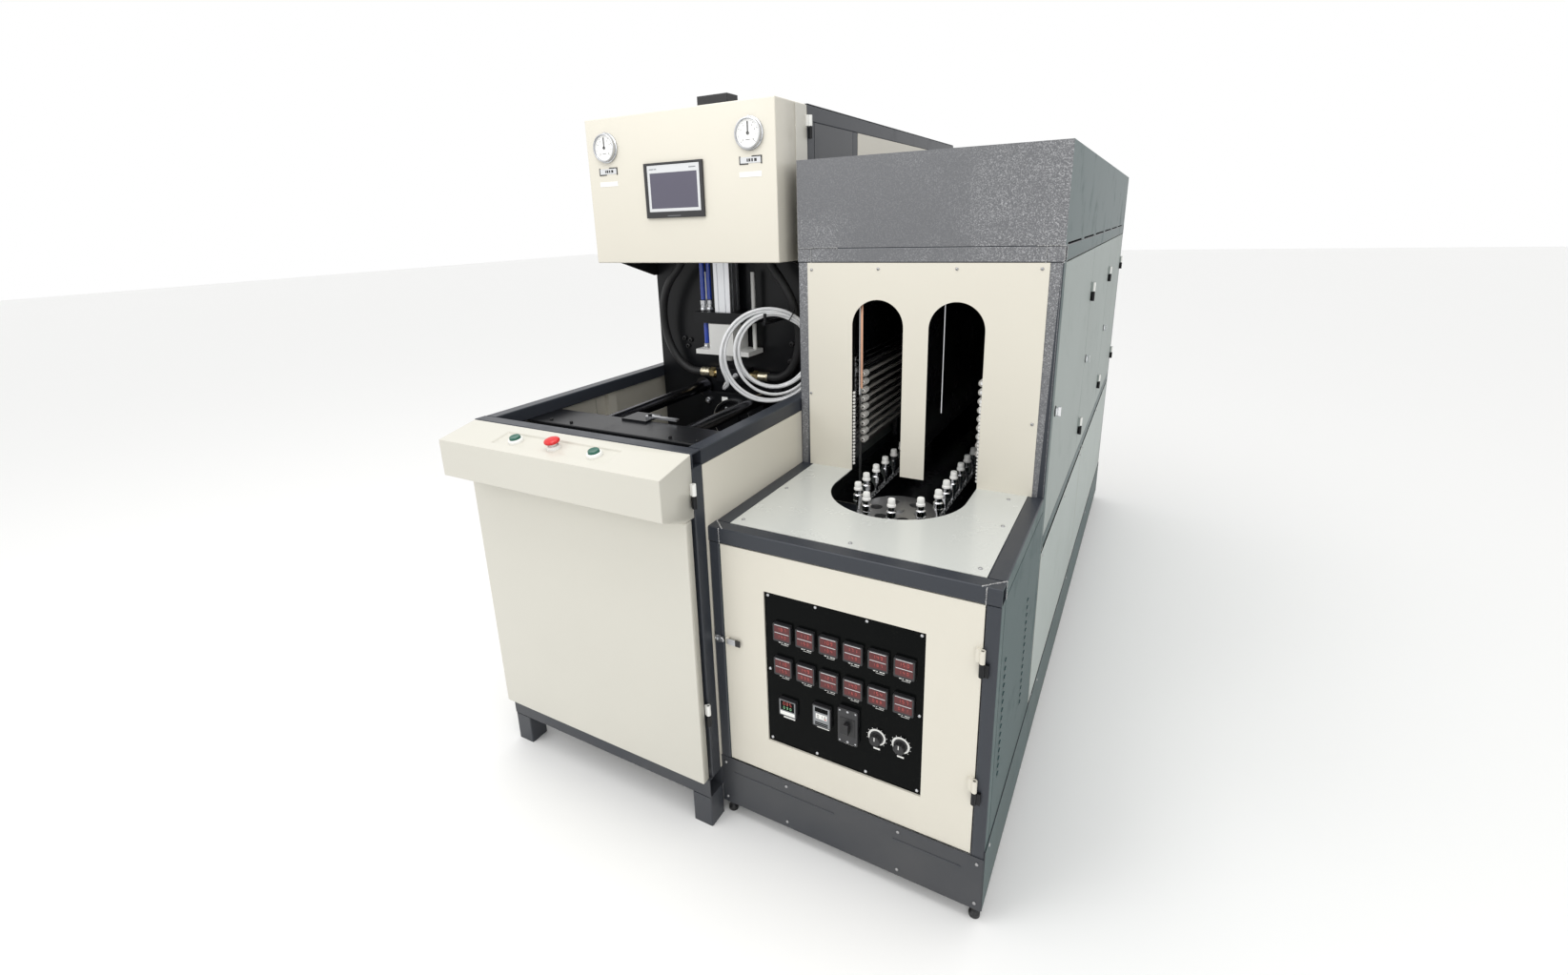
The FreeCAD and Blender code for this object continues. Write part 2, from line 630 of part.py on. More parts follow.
def heater_sheets():
    """The fixed white sheets round the heater, the louvred sheet and the skirt."""
    seam = S.lower_seam
    low, high = S.skirt_side + 2, RAIL_LOW - 10
    upper_low, upper_high = S.mid_rail_top, TOP_RAIL
    sheets = [
        block((W - S.sheet, W), (TOWER_BACK + 2, seam - 2), (low, high)),
        block((W - S.sheet, W), (seam + 2, REAR - 2), (low, high)),
        block((0, S.sheet), (TOWER_BACK + 2, REAR - 2), (FLOOR_GAP + S.tube, RAIL_LOW)),
        block((0, S.sheet), (TOWER_BACK, REAR), (upper_low, upper_high)),
        block((0, S.sheet), (S.tube, SETBACK), (FLOOR_GAP + S.tube, SHELF_LOW)),
        block((S.tube, W - S.tube), (D - S.sheet, D), (S.mid_rail_top, TOP_RAIL)),
        block((S.tube, W - S.tube), (D - S.sheet, D), (FLOOR_GAP + S.tube, RAIL_LOW)),
    ]
    bridges = [
        block((W - S.tube + S.tube_wall, W - S.sheet), (y - 10, y + 10), (RAIL_LOW - 12, RAIL_LOW))
        for y in (TOWER_BACK + 30, seam - 30, seam + 30, REAR - 30)
    ]
    deck = block((S.tube, W - S.tube), (TOWER_BACK, REAR), (S.mid_rail_top - S.sheet, S.mid_rail_top))
    keep("heater_sheets", compound(sheets + bridges + [deck]))
    louvres = []
    for y in (S.louvre_near, S.louvre_far):
        for i in range(LOUVRE_ROWS):
            z = S.louvre_low + S.louvre_pitch * i
            louvres.append(block((W - S.sheet - 1, W + 1), (y, y + S.louvre_long), (z, z + S.louvre_tall)))
    side = block((W - S.sheet, W), (S.tube, SETBACK), (S.skirt_side, SHELF_LOW))
    keep("louvre_panel", cut(side, louvres))
    skirt = [
        block((0, W), (-S.sheet, 0), (FLOOR_GAP, S.skirt_front)),
        block((W, W + S.sheet), (0, D), (FLOOR_GAP, S.skirt_side)),
        block((S.tube, W - S.tube), (D, D + S.sheet), (FLOOR_GAP, S.skirt_side)),
    ]
    keep("base_skirt", compound(skirt))


def heater_feet():
    feet = []
    inset = S.tube / 2
    for x in (inset, W - inset):
        for y in (SETBACK + inset, TOWER_BACK + DOOR_BAY * 1.5, REAR + inset):
            feet.append(turned("z", (x, y, ZERO), [
                (0, 0), (S.foot_radius - 8, 0), (S.foot_radius - 8, 8), (7, 14), (7, FLOOR_GAP - 4),
                (S.tube / 2 - 1, FLOOR_GAP - 4), (S.tube / 2 - 1, FLOOR_GAP), (0, FLOOR_GAP)]))
    for x in (S.post_width / 2 + 2, W - S.post_width / 2 - 2):
        feet.append(turned("z", (x, inset, ZERO), [
            (0, 0), (S.foot_radius - 12, 0), (S.foot_radius - 12, 8), (7, 14), (7, FLOOR_GAP - 4),
            (S.post_width / 2 - 1, FLOOR_GAP - 4), (S.post_width / 2 - 1, FLOOR_GAP), (0, FLOOR_GAP)]))
    keep("heater_feet", compound(feet))


def wheel_places():
    front = SETBACK - S.cutout_depth
    return front, REAR - S.chain_tail


def conveyor():
    """Two chain wheels, the chain band round them and the preform holders that it carries."""
    front, rear = wheel_places()
    z = S.wheel_z
    for label, y in (("chain_wheel_front", front), ("chain_wheel_rear", rear)):
        bore = S.wheel_bore
        wheel = turned("z", (S.oven_middle, y, z), [
            (bore, -20), (bore + 16, -20), (bore + 16, 0), (S.wheel_radius, 0),
            (S.wheel_radius, S.wheel_thick), (bore, S.wheel_thick)])
        holes = [
            rod("z", (S.oven_middle + Size.of(62 * math.cos(math.radians(a))),
                      y + Size.of(62 * math.sin(math.radians(a))), z - 1), Size.of(16), S.wheel_thick + 2)
            for a in range(0, 360, 60)
        ]
        keep(label, cut(wheel, holes))
    inner = S.wheel_radius + S.loose_fit
    outer = inner + S.chain_deep

    def loop(radius, low, high):
        ends = [rod("z", (S.oven_middle, y, low), radius, high - low) for y in (front, rear)]
        strip = block((S.oven_middle - radius, S.oven_middle + radius), (front, rear), (low, high))
        return fuse(ends + [strip])

    chain = cut(loop(outer, z - 1, z - 1 + S.chain_tall), [loop(inner, z - 2, z + S.chain_tall)])
    keep("conveyor_chain", chain)
    pitch_radius = (inner + S.chain_deep / 2).number
    straight = (rear - front).number
    whole = 2 * straight + 2 * math.pi * pitch_radius
    count = round(whole / S.holder_pitch.number)
    holders = []
    for i in range(count):
        way = whole * i / count
        if way < straight:
            x, y = pitch_radius, way
        elif way < straight + math.pi * pitch_radius:
            angle = (way - straight) / pitch_radius
            x, y = pitch_radius * math.cos(angle), straight + pitch_radius * math.sin(angle)
        elif way < 2 * straight + math.pi * pitch_radius:
            x, y = -pitch_radius, 2 * straight + math.pi * pitch_radius - way
        else:
            angle = (way - 2 * straight - math.pi * pitch_radius) / pitch_radius
            x, y = -pitch_radius * math.cos(angle), -pitch_radius * math.sin(angle)
        holder = turned("z", (S.oven_middle + Size.of(x), front + Size.of(y), z - 1 + S.chain_tall), [
            (0, 0), (5, 0), (5, 22), (S.holder_radius, 26), (S.holder_radius, 44),
            (S.holder_radius - 4, 47), (S.holder_radius - 4, S.holder_tall), (0, S.holder_tall)])
        holders.append(holder)
    keep("preform_holders", compound(holders))


def oven():
    """Lamp banks either side of the chain, their racks and reflectors, the axles and the drive."""
    front, rear = wheel_places()
    lamps, racks = [], []
    for bay in range(3):
        near = TOWER_BACK + DOOR_BAY * bay + 14
        far = TOWER_BACK + DOOR_BAY * (bay + 1) - 14
        for side in (-1, 1):
            x = S.oven_middle + S.lamp_aside * side
            for i in range(9):
                z = S.lamp_low + S.lamp_pitch * i
                cap, long = S.lamp_cap_radius, far - near
                lamps.append(turned("y", (x, near, z), [
                    (0, 0), (cap, 0), (cap, S.lamp_cap_long), (S.lamp_radius, S.lamp_cap_long),
                    (S.lamp_radius, long - S.lamp_cap_long), (cap, long - S.lamp_cap_long),
                    (cap, long), (0, long)]))
            for y in (near + 6, far - 12):
                ends = x + S.lamp_cap_radius * side, x + (S.lamp_cap_radius + 6) * side
                post = block((min_of(*ends), max_of(*ends)), (y, y + 6), (S.mid_rail_top, S.lamp_low + S.lamp_pitch * 9))
                racks.append(post)
            edge = S.oven_middle + S.reflector_aside * side
            racks.append(block((edge - 1, edge + 1), (near, far), (S.lamp_low - 40, S.lamp_low + S.lamp_pitch * 10)))
            for y in (near + 6, far - 12):
                ends = x + (S.lamp_cap_radius + 6) * side, edge - side
                racks.append(block((min_of(*ends), max_of(*ends)), (y, y + 6),
                                   (S.lamp_low + S.lamp_pitch * 8, S.lamp_low + S.lamp_pitch * 8.5)))
    keep("heating_lamps", compound(lamps))
    drive = [
        rod("z", (S.oven_middle, rear, S.mid_rail_top - S.sheet - S.motor_tall), S.motor_radius, S.motor_tall),
    ]
    keep("drive_motor", compound(drive))
    arm_low = S.mid_rail_top - 20
    racks.append(block((S.oven_middle - 34, S.oven_middle + 34), (front - 34, SETBACK), (arm_low, S.mid_rail_top)))
    for y in (front, rear):
        shaft = rod("z", (S.oven_middle, y, S.mid_rail_top), S.axle_radius, S.wheel_z + S.wheel_thick + 6 - S.mid_rail_top)
        collar = rod("z", (S.oven_middle, y, S.mid_rail_top), S.axle_radius + 14, S.wheel_z - 20.3 - S.mid_rail_top)
        racks.append(fuse([shaft, collar]))
    keep("oven_racks", compound(racks))


def min_of(a, b):
    return a if a.number < b.number else b


def max_of(a, b):
    return b if a.number < b.number else a


# ------------------------------------------------------------------ blowing station
B = S.blower_width
CENTRE = -(B / 2)
BED_LOW = S.bed_height - S.tube


def blower_frame():
    tubes = []
    back = S.cabinet_back
    base_top = S.base_rail_low + S.leg
    for x in ((-B, -B + S.leg), (-S.leg, ZERO)):
        for y in (-S.leg_front, S.cabinet_start - S.leg, back - S.leg):
            tubes.append(square_tube("z", x, (y, y + S.leg), (0, S.base_rail_low)))
        tubes.append(square_tube("y", x, (-S.leg_front + S.leg, back - S.leg), (S.base_rail_low, base_top)))
    for y in (-S.leg_front, back - S.leg):
        tubes.append(square_tube("x", (-B, 0), (y, y + S.leg), (S.base_rail_low, base_top)))
    near = -S.bed_front
    for x in ((-B, -B + S.tube), (-S.tube, ZERO)):
        tubes.append(square_tube("z", x, (near, near + S.tube), (base_top, BED_LOW)))
        tubes.append(square_tube("y", x, (near + S.tube, S.cabinet_start), (BED_LOW, S.bed_height)))
    tubes.append(square_tube("x", (-B, 0), (near, near + S.tube), (BED_LOW, S.bed_height)))
    rail = S.cabinet_rail
    left, right = -B + S.cabinet_inset, -S.cabinet_inset
    for x in ((left, left + rail), (right - rail, right)):
        tubes.append(square_tube("z", x, (S.cabinet_start, S.cabinet_start + rail), (base_top, S.head_top - rail)))
        tubes.append(square_tube("z", x, (back - rail, back), (base_top, S.head_top - rail)))
        tubes.append(square_tube("z", x, (S.wall_y + S.plate, S.wall_y + S.plate + rail), (S.bed_height, S.head_low)))
        front = S.head_front + S.head_deep
        tubes.append(square_tube("y", x, (front, back), (S.head_top - rail, S.head_top)))
        tubes.append(square_tube("y", x, (front, S.cabinet_start), (S.head_low, S.head_low + rail)))
        tubes.append(square_tube("z", x, (front, front + rail), (S.head_low + rail, S.head_top - rail)))
    inner = (left + rail, right - rail)
    for y in (S.wall_y + S.plate, back - rail):
        tubes.append(square_tube("x", inner, (y, y + rail), (S.head_top - rail, S.head_top)))
    keep("blower_frame", compound(tubes))


def blower_sheets():
    base_top = S.base_rail_low + S.leg
    near = -S.bed_front + S.tube
    start, back, rail = S.cabinet_start, S.cabinet_back, S.cabinet_rail
    left, right = -B + S.cabinet_inset, -S.cabinet_inset
    panels = []
    for low, high, flange in ((-B, -B + S.sheet, (-B + S.sheet, -B + 20)),
                              (-S.sheet, ZERO, (Size.of(-20), -S.sheet))):
        panels.append(block((low, high), (near, start), (base_top, BED_LOW)))
        middle = (near + start) / 2
        panels.append(block(flange, (middle - 20, middle + 20), (base_top, BED_LOW)))
    cream = panels + [
        block((x, x + S.sheet), (start + rail, back - rail), (base_top, S.head_top - rail))
        for x in (left, right - S.sheet)
    ]
    cream.append(block((left + rail, right - rail), (back - S.sheet, back), (base_top, S.head_top - rail)))
    keep("blower_sheets", compound(cream))
    front = S.head_front + S.head_deep + rail
    dark = [
        block((x, x + S.sheet), (front, start), (S.head_low + rail, S.head_top - rail))
        for x in (left, right - S.sheet)
    ]
    half = S.cylinder_side / 2 + S.loose_fit
    top = block((left, right), (S.head_front + S.head_deep, S.cabinet_back), (S.head_top, S.head_top + S.sheet))
    dark.append(cut(top, [block((CENTRE - half, CENTRE + half), (S.station_y - half, S.station_y + half),
                                (S.head_top - 1, S.head_top + S.sheet + 1))]))
    dark.append(block((-B + S.tube, -S.tube), (near, S.wall_y), (S.tray_z, S.tray_z + S.sheet)))
    dark.append(block((-B + 20, -B + S.tube), (near, S.wall_y), (S.tray_z, S.tray_z + S.sheet)))
    dark.append(block((-S.tube, Size.of(-20)), (near, S.wall_y), (S.tray_z, S.tray_z + S.sheet)))
    keep("cabinet_dark_panels", compound(dark))


def station_plates():
    """The heavy back plate, and the plate across the top that carries the cylinders."""
    left, right = -B + S.tube, -S.tube
    bars = [(CENTRE - S.bar_apart, S.bar_z), (CENTRE + S.bar_apart, S.bar_z)]
    y = S.wall_y

    def draw(outline):
        outline.corners([(left, S.tray_z), (right, S.tray_z), (right, S.head_low), (left, S.head_low)])
        outline.circle((CENTRE, S.ram_z), S.ram_radius + S.run_fit)

    peg_z = S.coil_z + S.coil_radius - S.coil_half - S.peg_radius - 0.3
    peg_front = S.coil_y - 40
    peg = fuse([rod("y", (-S.coil_x, peg_front, peg_z), S.peg_radius, y - peg_front + 1),
                rod("z", (-S.coil_x, peg_front + 9, peg_z), S.peg_radius - 1, 30)])
    keep("station_back_plate", fuse([padded("y", (y, y + S.plate), draw), peg]))
    inset = S.cabinet_inset + S.cabinet_rail

    def draw_carrier(outline):
        outline.corners([(-B + inset, S.carrier_front), (-inset, S.carrier_front), (-inset, S.wall_y + S.plate + 60),
                         (-B + inset, S.wall_y + S.plate + 60)])
        for side in (-1, 1):
            outline.circle((CENTRE + S.rod_apart * side, S.station_y + 20), S.rod_radius + 0.5)
        outline.circle((CENTRE, S.station_y), S.stretch_radius + 20)

    keep("cylinder_carrier", padded("z", (S.head_low, S.head_low + S.plate), draw_carrier))
    return bars


def stretch_unit():
    half = S.cylinder_side / 2
    x, y = CENTRE, S.station_y
    bottom = S.bracket_top
    cylinder = block((x - half, x + half), (y - half, y + half), (bottom, S.head_low))
    grooves = []
    for side in (-1, 1):
        for offset in (-14, 14):
            face = half * side
            depth = (face - 3, face + 1) if side > 0 else (face - 1, face + 3)
            grooves.append(block((x + depth[0], x + depth[1]), (y + offset - 2, y + offset + 2), (bottom, S.head_low)))
            grooves.append(block((x + offset - 2, x + offset + 2), (y + depth[0], y + depth[1]), (bottom, S.head_low)))
    bore = rod("z", (x, y, bottom - 1), S.stretch_radius + 12, S.head_low - bottom + 2)
    keep("seal_cylinder", cut(round_edges(cylinder, 5, along("z")), grooves + [bore]))
    wide = S.bracket_wide / 2
    bracket = block((x - wide - 20, x + wide + 20), (y - 44, S.wall_y), (bottom - S.bracket_tall, bottom))
    holes = [rod("z", (x + S.rod_apart * side, y + 20, bottom - S.bracket_tall - 1),
                 S.rod_radius + S.run_fit, S.bracket_tall + 2) for side in (-1, 1)]
    holes.append(rod("z", (x, y, bottom - S.bracket_tall - 1), S.stretch_radius + 8, S.bracket_tall + 2))
    keep("cylinder_bracket", cut(bracket, holes))
    side = S.block_side / 2
    top = bottom - S.bracket_tall - 2
    body = block((x - side, x + side), (y - side, y + side), (S.block_low + 16, top))
    foot = block((x - S.rod_apart - 14, x + S.rod_apart + 14), (y - side, y + side), (S.block_low, S.block_low + 16))
    rods = [rod("z", (x + S.rod_apart * s, y + 20, S.block_low), S.rod_radius, bottom - S.block_low + S.rod_up)
            for s in (-1, 1)]
    nozzle = turned("z", (x, y, S.block_low - S.nozzle_long), [
        (S.stretch_radius + 1, 0), (S.nozzle_radius - 5, 0), (S.nozzle_radius, 8),
        (S.nozzle_radius, S.nozzle_long), (S.stretch_radius + 1, S.nozzle_long)])
    bore = rod("z", (x, y, S.block_low - 1), S.stretch_radius + 1, S.block_side * 2)
    keep("seal_head", cut(fuse([body, foot] + rods + [nozzle]), [bore]))
    low = S.block_low - S.nozzle_long + 2
    keep("stretch_rod", turned("z", (x, y, low), [
        (0, 0), (S.stretch_radius - 1, 0), (S.stretch_radius, 2), (S.stretch_radius, S.stretch_long),
        (S.stretch_radius + 11.8, S.stretch_long), (S.stretch_radius + 11.8, S.stretch_long + 14),
        (0, S.stretch_long + 14)]))
    cap = S.cap_wide / 2
    block_low = S.head_low + S.plate
    cap_body = fuse([
        block((x - cap, x + cap), (y - half, y + half), (S.head_top + S.sheet, S.cap_top)),
        block((x - half, x + half), (y - half, y + half), (block_low, S.head_top + S.sheet)),
    ])
    keep("top_cylinder_cap", round_edges(cap_body, 2, along("z")))


def mould_clamp():
    x = CENTRE
    beam_front, beam_back = S.beam_front, S.beam_front + S.beam_deep
    beam = square_tube("x", (-B + S.beam_inset, -S.beam_inset), (beam_front, beam_back),
                       (S.beam_low, S.beam_top), S.tube_wall * 3)
    ends = [block((-B + S.tube, -B + S.beam_inset), (beam_front, beam_back), (S.beam_low, S.beam_top)),
            block((-S.beam_inset, -S.tube), (beam_front, beam_back), (S.beam_low, S.beam_top))]
    plate = block((x - S.low_bar_apart - 40, x + S.low_bar_apart + 40), (beam_back, beam_back + S.platen_thick),
                  (S.mould_plate_low, S.bar_z - 26))
    tongue = block((x - 65, x + 25), (beam_back - 25, beam_back + 50), (S.beam_top, S.beam_top + 6))
    pivot = rod("z", (x + 12, beam_back + 12, S.beam_top + 6), Size.of(6), 12)
    keep("front_platen", compound([beam] + ends + [plate, fuse([tongue, pivot])]))
    bars = []
    for side in (-1, 1):
        bars.append(rod("y", (x + S.bar_apart * side, beam_back, S.bar_z - 2), S.bar_radius, S.wall_y - beam_back))
        bars.append(rod("y", (x + S.low_bar_apart * side, beam_back + S.platen_thick, S.low_bar_z),
                        S.bar_radius, S.wall_y - beam_back - S.platen_thick))
        bars.append(cut(rod("y", (x + S.bar_apart * side, S.wall_y - 14, S.bar_z - 2), S.bar_radius + 14, 14),
                        [rod("y", (x + S.bar_apart * side, S.wall_y - 15, S.bar_z - 2), S.bar_radius, 16)]))
    keep("tie_bars", compound(bars))
    back = S.station_y + 30
    front = back - S.platen_thick
    half = S.platen_half

    def draw(outline):
        wide = S.low_bar_apart + 40
        outline.corners([(x - wide, S.low_bar_z - 40), (x + wide, S.low_bar_z - 40), (x + wide, S.low_bar_z + 40),
                         (x + half, S.low_bar_z + 60), (x + half, S.platen_top), (x - half, S.platen_top),
                         (x - half, S.low_bar_z + 60), (x - wide, S.low_bar_z + 40)])
        for side in (-1, 1):
            outline.circle((x + S.low_bar_apart * side, S.low_bar_z), S.bar_radius + S.run_fit)

    platen = padded("y", (front, back), draw)
    flange = turned("front", (x, front, S.ram_z), [
        (0, 0), (S.flange_radius, 0), (S.flange_radius, S.flange_thick - 4), (S.flange_radius - 4, S.flange_thick),
        (S.flange_radius - 10, S.flange_thick), (S.flange_radius - 14, 5), (30, 5), (30, S.flange_thick), (0, S.flange_thick)])
    rod_start = back
    ram = rod("y", (x, rod_start, S.ram_z), S.ram_radius, S.ram_stroke + 80)
    piston = rod("y", (x, rod_start + S.ram_stroke + 80, S.ram_z), S.ram_bore - 0.3, 30)
    keep("moving_platen", compound([platen, flange, fuse([ram, piston])]))
    shell_start = S.wall_y + S.plate
    far = rod_start + S.ram_stroke + 80 + 40
    shell = cut(rod("y", (x, shell_start, S.ram_z), S.ram_shell, far + 12 - shell_start),
                [rod("y", (x, shell_start + 14, S.ram_z), S.ram_bore, far - shell_start - 14),
                 rod("y", (x, shell_start - 1, S.ram_z), S.ram_radius + S.run_fit, 20)])
    keep("clamp_cylinder", shell)
    lever = fuse([
        rod("z", (x + 12, beam_back + 12, S.beam_top + 6.3), Size.of(13), 6),
        block((x + 12, x + 112), (beam_back + 5, beam_back + 19), (S.beam_top + 6.3, S.beam_top + 12.3)),
    ])
    eye = rod("z", (x + 12, beam_back + 12, S.beam_top + 5), 6 + S.loose_fit, 10)
    keep("mould_latch", cut(lever, [eye]))


HOOD_RISE = math.atan2((S.hood_top - S.hood_nose_top).number,
                       (S.button_reach - S.bed_front - S.door_gap).number)


def front_door(pins):
    """The blowing station's front door, with the button hood welded across its top."""
    left, right = -B + S.door_gap, -S.door_gap
    back = -S.leg_front
    thick = S.front_door_thick
    door = tray((left, right), (back - thick, back), (S.front_door_low, S.front_door_top), ("y", "+"))
    nose, rear = -S.button_reach, -S.bed_front - S.door_gap
    wall = S.sheet

    def profile(outline):
        outline.corners([(nose, S.hood_nose_low), (back - thick, S.front_door_top), (rear, S.front_door_top),
                         (rear, S.hood_top), (nose, S.hood_nose_top)])

    def hollow(outline):
        roof = wall + S.recess_deep
        outline.corners([(nose + wall, S.hood_nose_low + wall), (back - thick + wall, S.front_door_top + wall),
                         (rear + 1, S.front_door_top + wall), (rear + 1, S.hood_top - roof),
                         (nose + wall, S.hood_nose_top - roof)])

    recess = doc.addObject("Part::Box", "Recess")
    bind(recess, "Length", S.recess_long)
    bind(recess, "Width", S.recess_wide)
    bind(recess, "Height", S.recess_deep * 3)
    leaning(recess, on_hood(-S.button_middle - S.recess_long / 2, -S.recess_deep, -S.recess_wide / 2))
    hood = cut(padded("x", (left, right), profile),
               [padded("x", (left + wall, right - wall), hollow), recess])
    x, y = S.hinge_stand, -S.leg_front + S.knuckle_radius
    pieces = [door, hood]
    for z in (S.front_door_top + 60, S.front_door_low + 200):
        door_side, frame_side = knuckles(x, y, z, True)
        pieces += [door_side, block((right - 1, x - S.pin_radius - 1), (y - 3, y + 1), (z + 1, z + 1 + S.knuckle_length))]
        pins.append(fuse([frame_side, block((ZERO, x - S.pin_radius - 1), (y, -S.bed_front + 6),
                                            (z - 1 - S.knuckle_length, z - 1))]))
    keep("blower_front_door", fuse(pieces + button_collars()))


LEAN = FreeCAD.Rotation(V(1, 0, 0), math.degrees(HOOD_RISE))
START_LEFT = -(S.button_middle + S.button_pitch)
START_RIGHT = -(S.button_middle - S.button_pitch)
STOP = -S.button_middle


def on_hood(x, up=0.0, back=0.0):
    """A spot on the hood's sloping top: up is square to the top, back is up the slope."""
    sine, cosine = math.sin(HOOD_RISE), math.cos(HOOD_RISE)
    y = -(S.button_reach + S.bed_front + S.door_gap) / 2
    z = (S.hood_nose_top + S.hood_top) / 2
    up, back = Size.of(up), Size.of(back)
    return x, y + back * cosine - up * sine, z + back * sine + up * cosine


def leaning(body, place):
    body.Placement = FreeCAD.Placement(V(), LEAN)
    put(body, place)
    return body


def button_collars():
    """The three collars that the buttons pass through, in the hood's shallow tray."""
    collars = []
    for x, radius in ((START_LEFT, S.button_radius), (START_RIGHT, S.button_radius), (STOP, S.stem_radius)):
        inner, high = radius + S.loose_fit, S.button_travel
        profile = [(inner, -0.5), (radius + 5, -0.5), (radius + 5, high), (radius + 3.5, high + 1.5),
                   (inner, high + 1.5)]
        collars.append(leaning(turned("z", (x, 0, 0), profile), on_hood(x, -S.recess_deep)))
    return collars


def buttons():
    """Two start buttons and a mushroom stop button, square to the hood's sloping top."""
    start = [(0, 0.5), (S.button_radius, 0.5), (S.button_radius, S.button_tall - 1),
             (S.button_radius - 1.5, S.button_tall), (0, S.button_tall)]
    stop = [(0, 0.5), (S.stem_radius, 0.5), (S.stem_radius, S.stop_tall - 6), (S.stop_radius, S.stop_tall - 2),
            (S.stop_radius, S.stop_tall + 3), (S.stop_radius - 4, S.stop_tall + 7), (0, S.stop_tall + 8)]
    for label, x, profile in (("start_button_left", START_LEFT, start), ("start_button_right", START_RIGHT, start),
                              ("emergency_button", STOP, stop)):
        keep(label, leaning(turned("z", (x, 0, 0), profile), on_hood(x, S.button_travel - S.recess_deep)))


def head(pins):
    """The white head cover with its screen and two pressure gauges. It hinges at its right rear."""
    left, right = -S.head_left, -S.head_right
    near, far = S.head_front, S.head_front + S.head_deep
    low, high = S.head_low + 2, S.head_top
    cover = tray((left, right), (near, far), (low - 2, high), ("y", "+"))
    bottom_gap = block((left + S.head_flange, right - S.head_flange), (near + S.head_flange, far + 1), (low - 3, low + 2))
    top_gap = block((left + S.head_flange, right - S.head_flange), (near + S.head_flange, far + 1), (high - 4, high + 1))
    bores = [rod("y", (x, near - 1, S.gauge_z), Size.of(7), 5) for x in (-S.gauge_left_x, -S.gauge_right_x)]
    pieces = [cut(cover, [bottom_gap, top_gap] + bores)]
    x, y = -S.cabinet_inset + S.hinge_stand, far + 3
    for z in (high - 60, low + 60):
        door_side, frame_side = knuckles(x, y, z, True)
        pieces += [door_side, block((right - 1, x), (y - 12, y - S.pin_radius - 0.8), (z + 1, z + 1 + S.knuckle_length))]
        pins.append(fuse([frame_side, block((-S.cabinet_inset, x), (y, y + S.leaf_width),
                                            (z - 1 - S.knuckle_length, z - 1))]))
    keep("head_cover", fuse(pieces))
    screen = block((-S.screen_left, -S.screen_left + S.screen_wide), (near - S.screen_deep, near),
                   (S.screen_low, S.screen_low + S.screen_tall))
    keep("touch_screen", round_edges(screen, 4, along("y")))
    cases = []
    deep = S.gauge_deep
    for name, gauge_x in (("left", -S.gauge_left_x), ("right", -S.gauge_right_x)):
        cases.append(turned("front", (gauge_x, near, S.gauge_z), [
            (0, 0), (S.gauge_radius, 0), (S.gauge_radius, deep - 3), (S.gauge_radius - 3, deep),
            (S.gauge_radius - 6, deep), (S.gauge_radius - 7, deep - 6), (S.needle_pivot, deep - 6),
            (S.needle_pivot, deep - 2), (0, deep - 2)]))
        face = near - deep + 6
        hub = cut(rod("y", (gauge_x, face - 3.2, S.gauge_z), Size.of(4), 2.9),
                  [rod("y", (gauge_x, face - 4.2, S.gauge_z), S.needle_pivot + 0.1, 5)])
        arm = block((gauge_x - S.needle_wide / 2, gauge_x + S.needle_wide / 2), (face - 2.2, face - 1),
                    (S.gauge_z + 3, S.gauge_z + S.needle_long))
        keep(f"gauge_needle_{name}", fuse([hub, arm]))
    keep("gauge_cases", compound(cases))


HOSES = {
    # x from the seam, y from the heater's front, z from the floor
    "left": [(-512, 742, 1065), (-556, 742, 1065), (-602, 739, 1092), (-636, 732, 1146), (-652, 724, 1210),
             (-650, 714, 1280), (-630, 706, 1345), (-594, 700, 1398), (-552, 698, 1436), (-541, 698, 1458.6)],
    "right": [(-238, 742, 1065), (-194, 742, 1065), (-150, 739, 1092), (-120, 732, 1146), (-106, 724, 1210),
              (-108, 714, 1280), (-126, 706, 1345), (-156, 700, 1398), (-186, 698, 1436), (-197, 698, 1458.6)],
}
BLUE_TUBES = [
    [(-462, 700, 1465), (-462, 700, 1329)], [(-444, 712, 1465), (-444, 712, 1329)],
    [(-456, 700, 1253), (-456, 700, 1178)],
]
LEAD = [(-352, 703, 1066), (-352, 675, 1066), (-350, 644, 1056), (-339, 612, 1048), (-319, 585, 1051),
        (-297, 566, 1064), (-279, 553.5, 1080)]


def air_lines():
    keep("air_hoses", compound([shaped("Hose", pipe(points, S.hose_radius.number, f"air hose {name}"))
                                for name, points in HOSES.items()]))
    tubes = []
    for start, end in BLUE_TUBES:
        spots = [V(x + ORIGIN[0].number, y + ORIGIN[1].number, z) for x, y, z in (start, end)]
        axis = spots[1] - spots[0]
        tubes.append(shaped("Tube", Part.makeCylinder(S.air_tube_radius.number, axis.Length, spots[0], axis)))
    keep("air_tubes", compound(tubes))
    x, y, z = CENTRE, S.wall_y - 28, S.manifold_z
    half = S.manifold_wide / 2
    manifold = block((x - half, x + half), (S.wall_y - 56, S.wall_y), (z - S.manifold_tall / 2, z + S.manifold_tall / 2))
    fittings = [round_edges(manifold, 3, along("x"))]
    for side in (-1, 1):
        start = x - half - 77 if side < 0 else x + half
        fittings.append(rod("x", (start, y, z), S.ferrule_radius, 77))
    for tube_x, tube_y in ((-462, 700), (-444, 712)):
        fittings.append(rod("z", (Size.of(tube_x), Size.of(tube_y), S.bracket_top), S.air_tube_radius + 1, 40))
    fittings.append(rod("z", (Size.of(-456), Size.of(700), S.block_low + 16), S.air_tube_radius + 1, 16))
    fittings.append(rod("y", (Size.of(-352), Size.of(703), Size.of(1066)), S.lead_radius + 4, S.wall_y - 56 - 703))
    keep("air_fittings", compound(fittings))


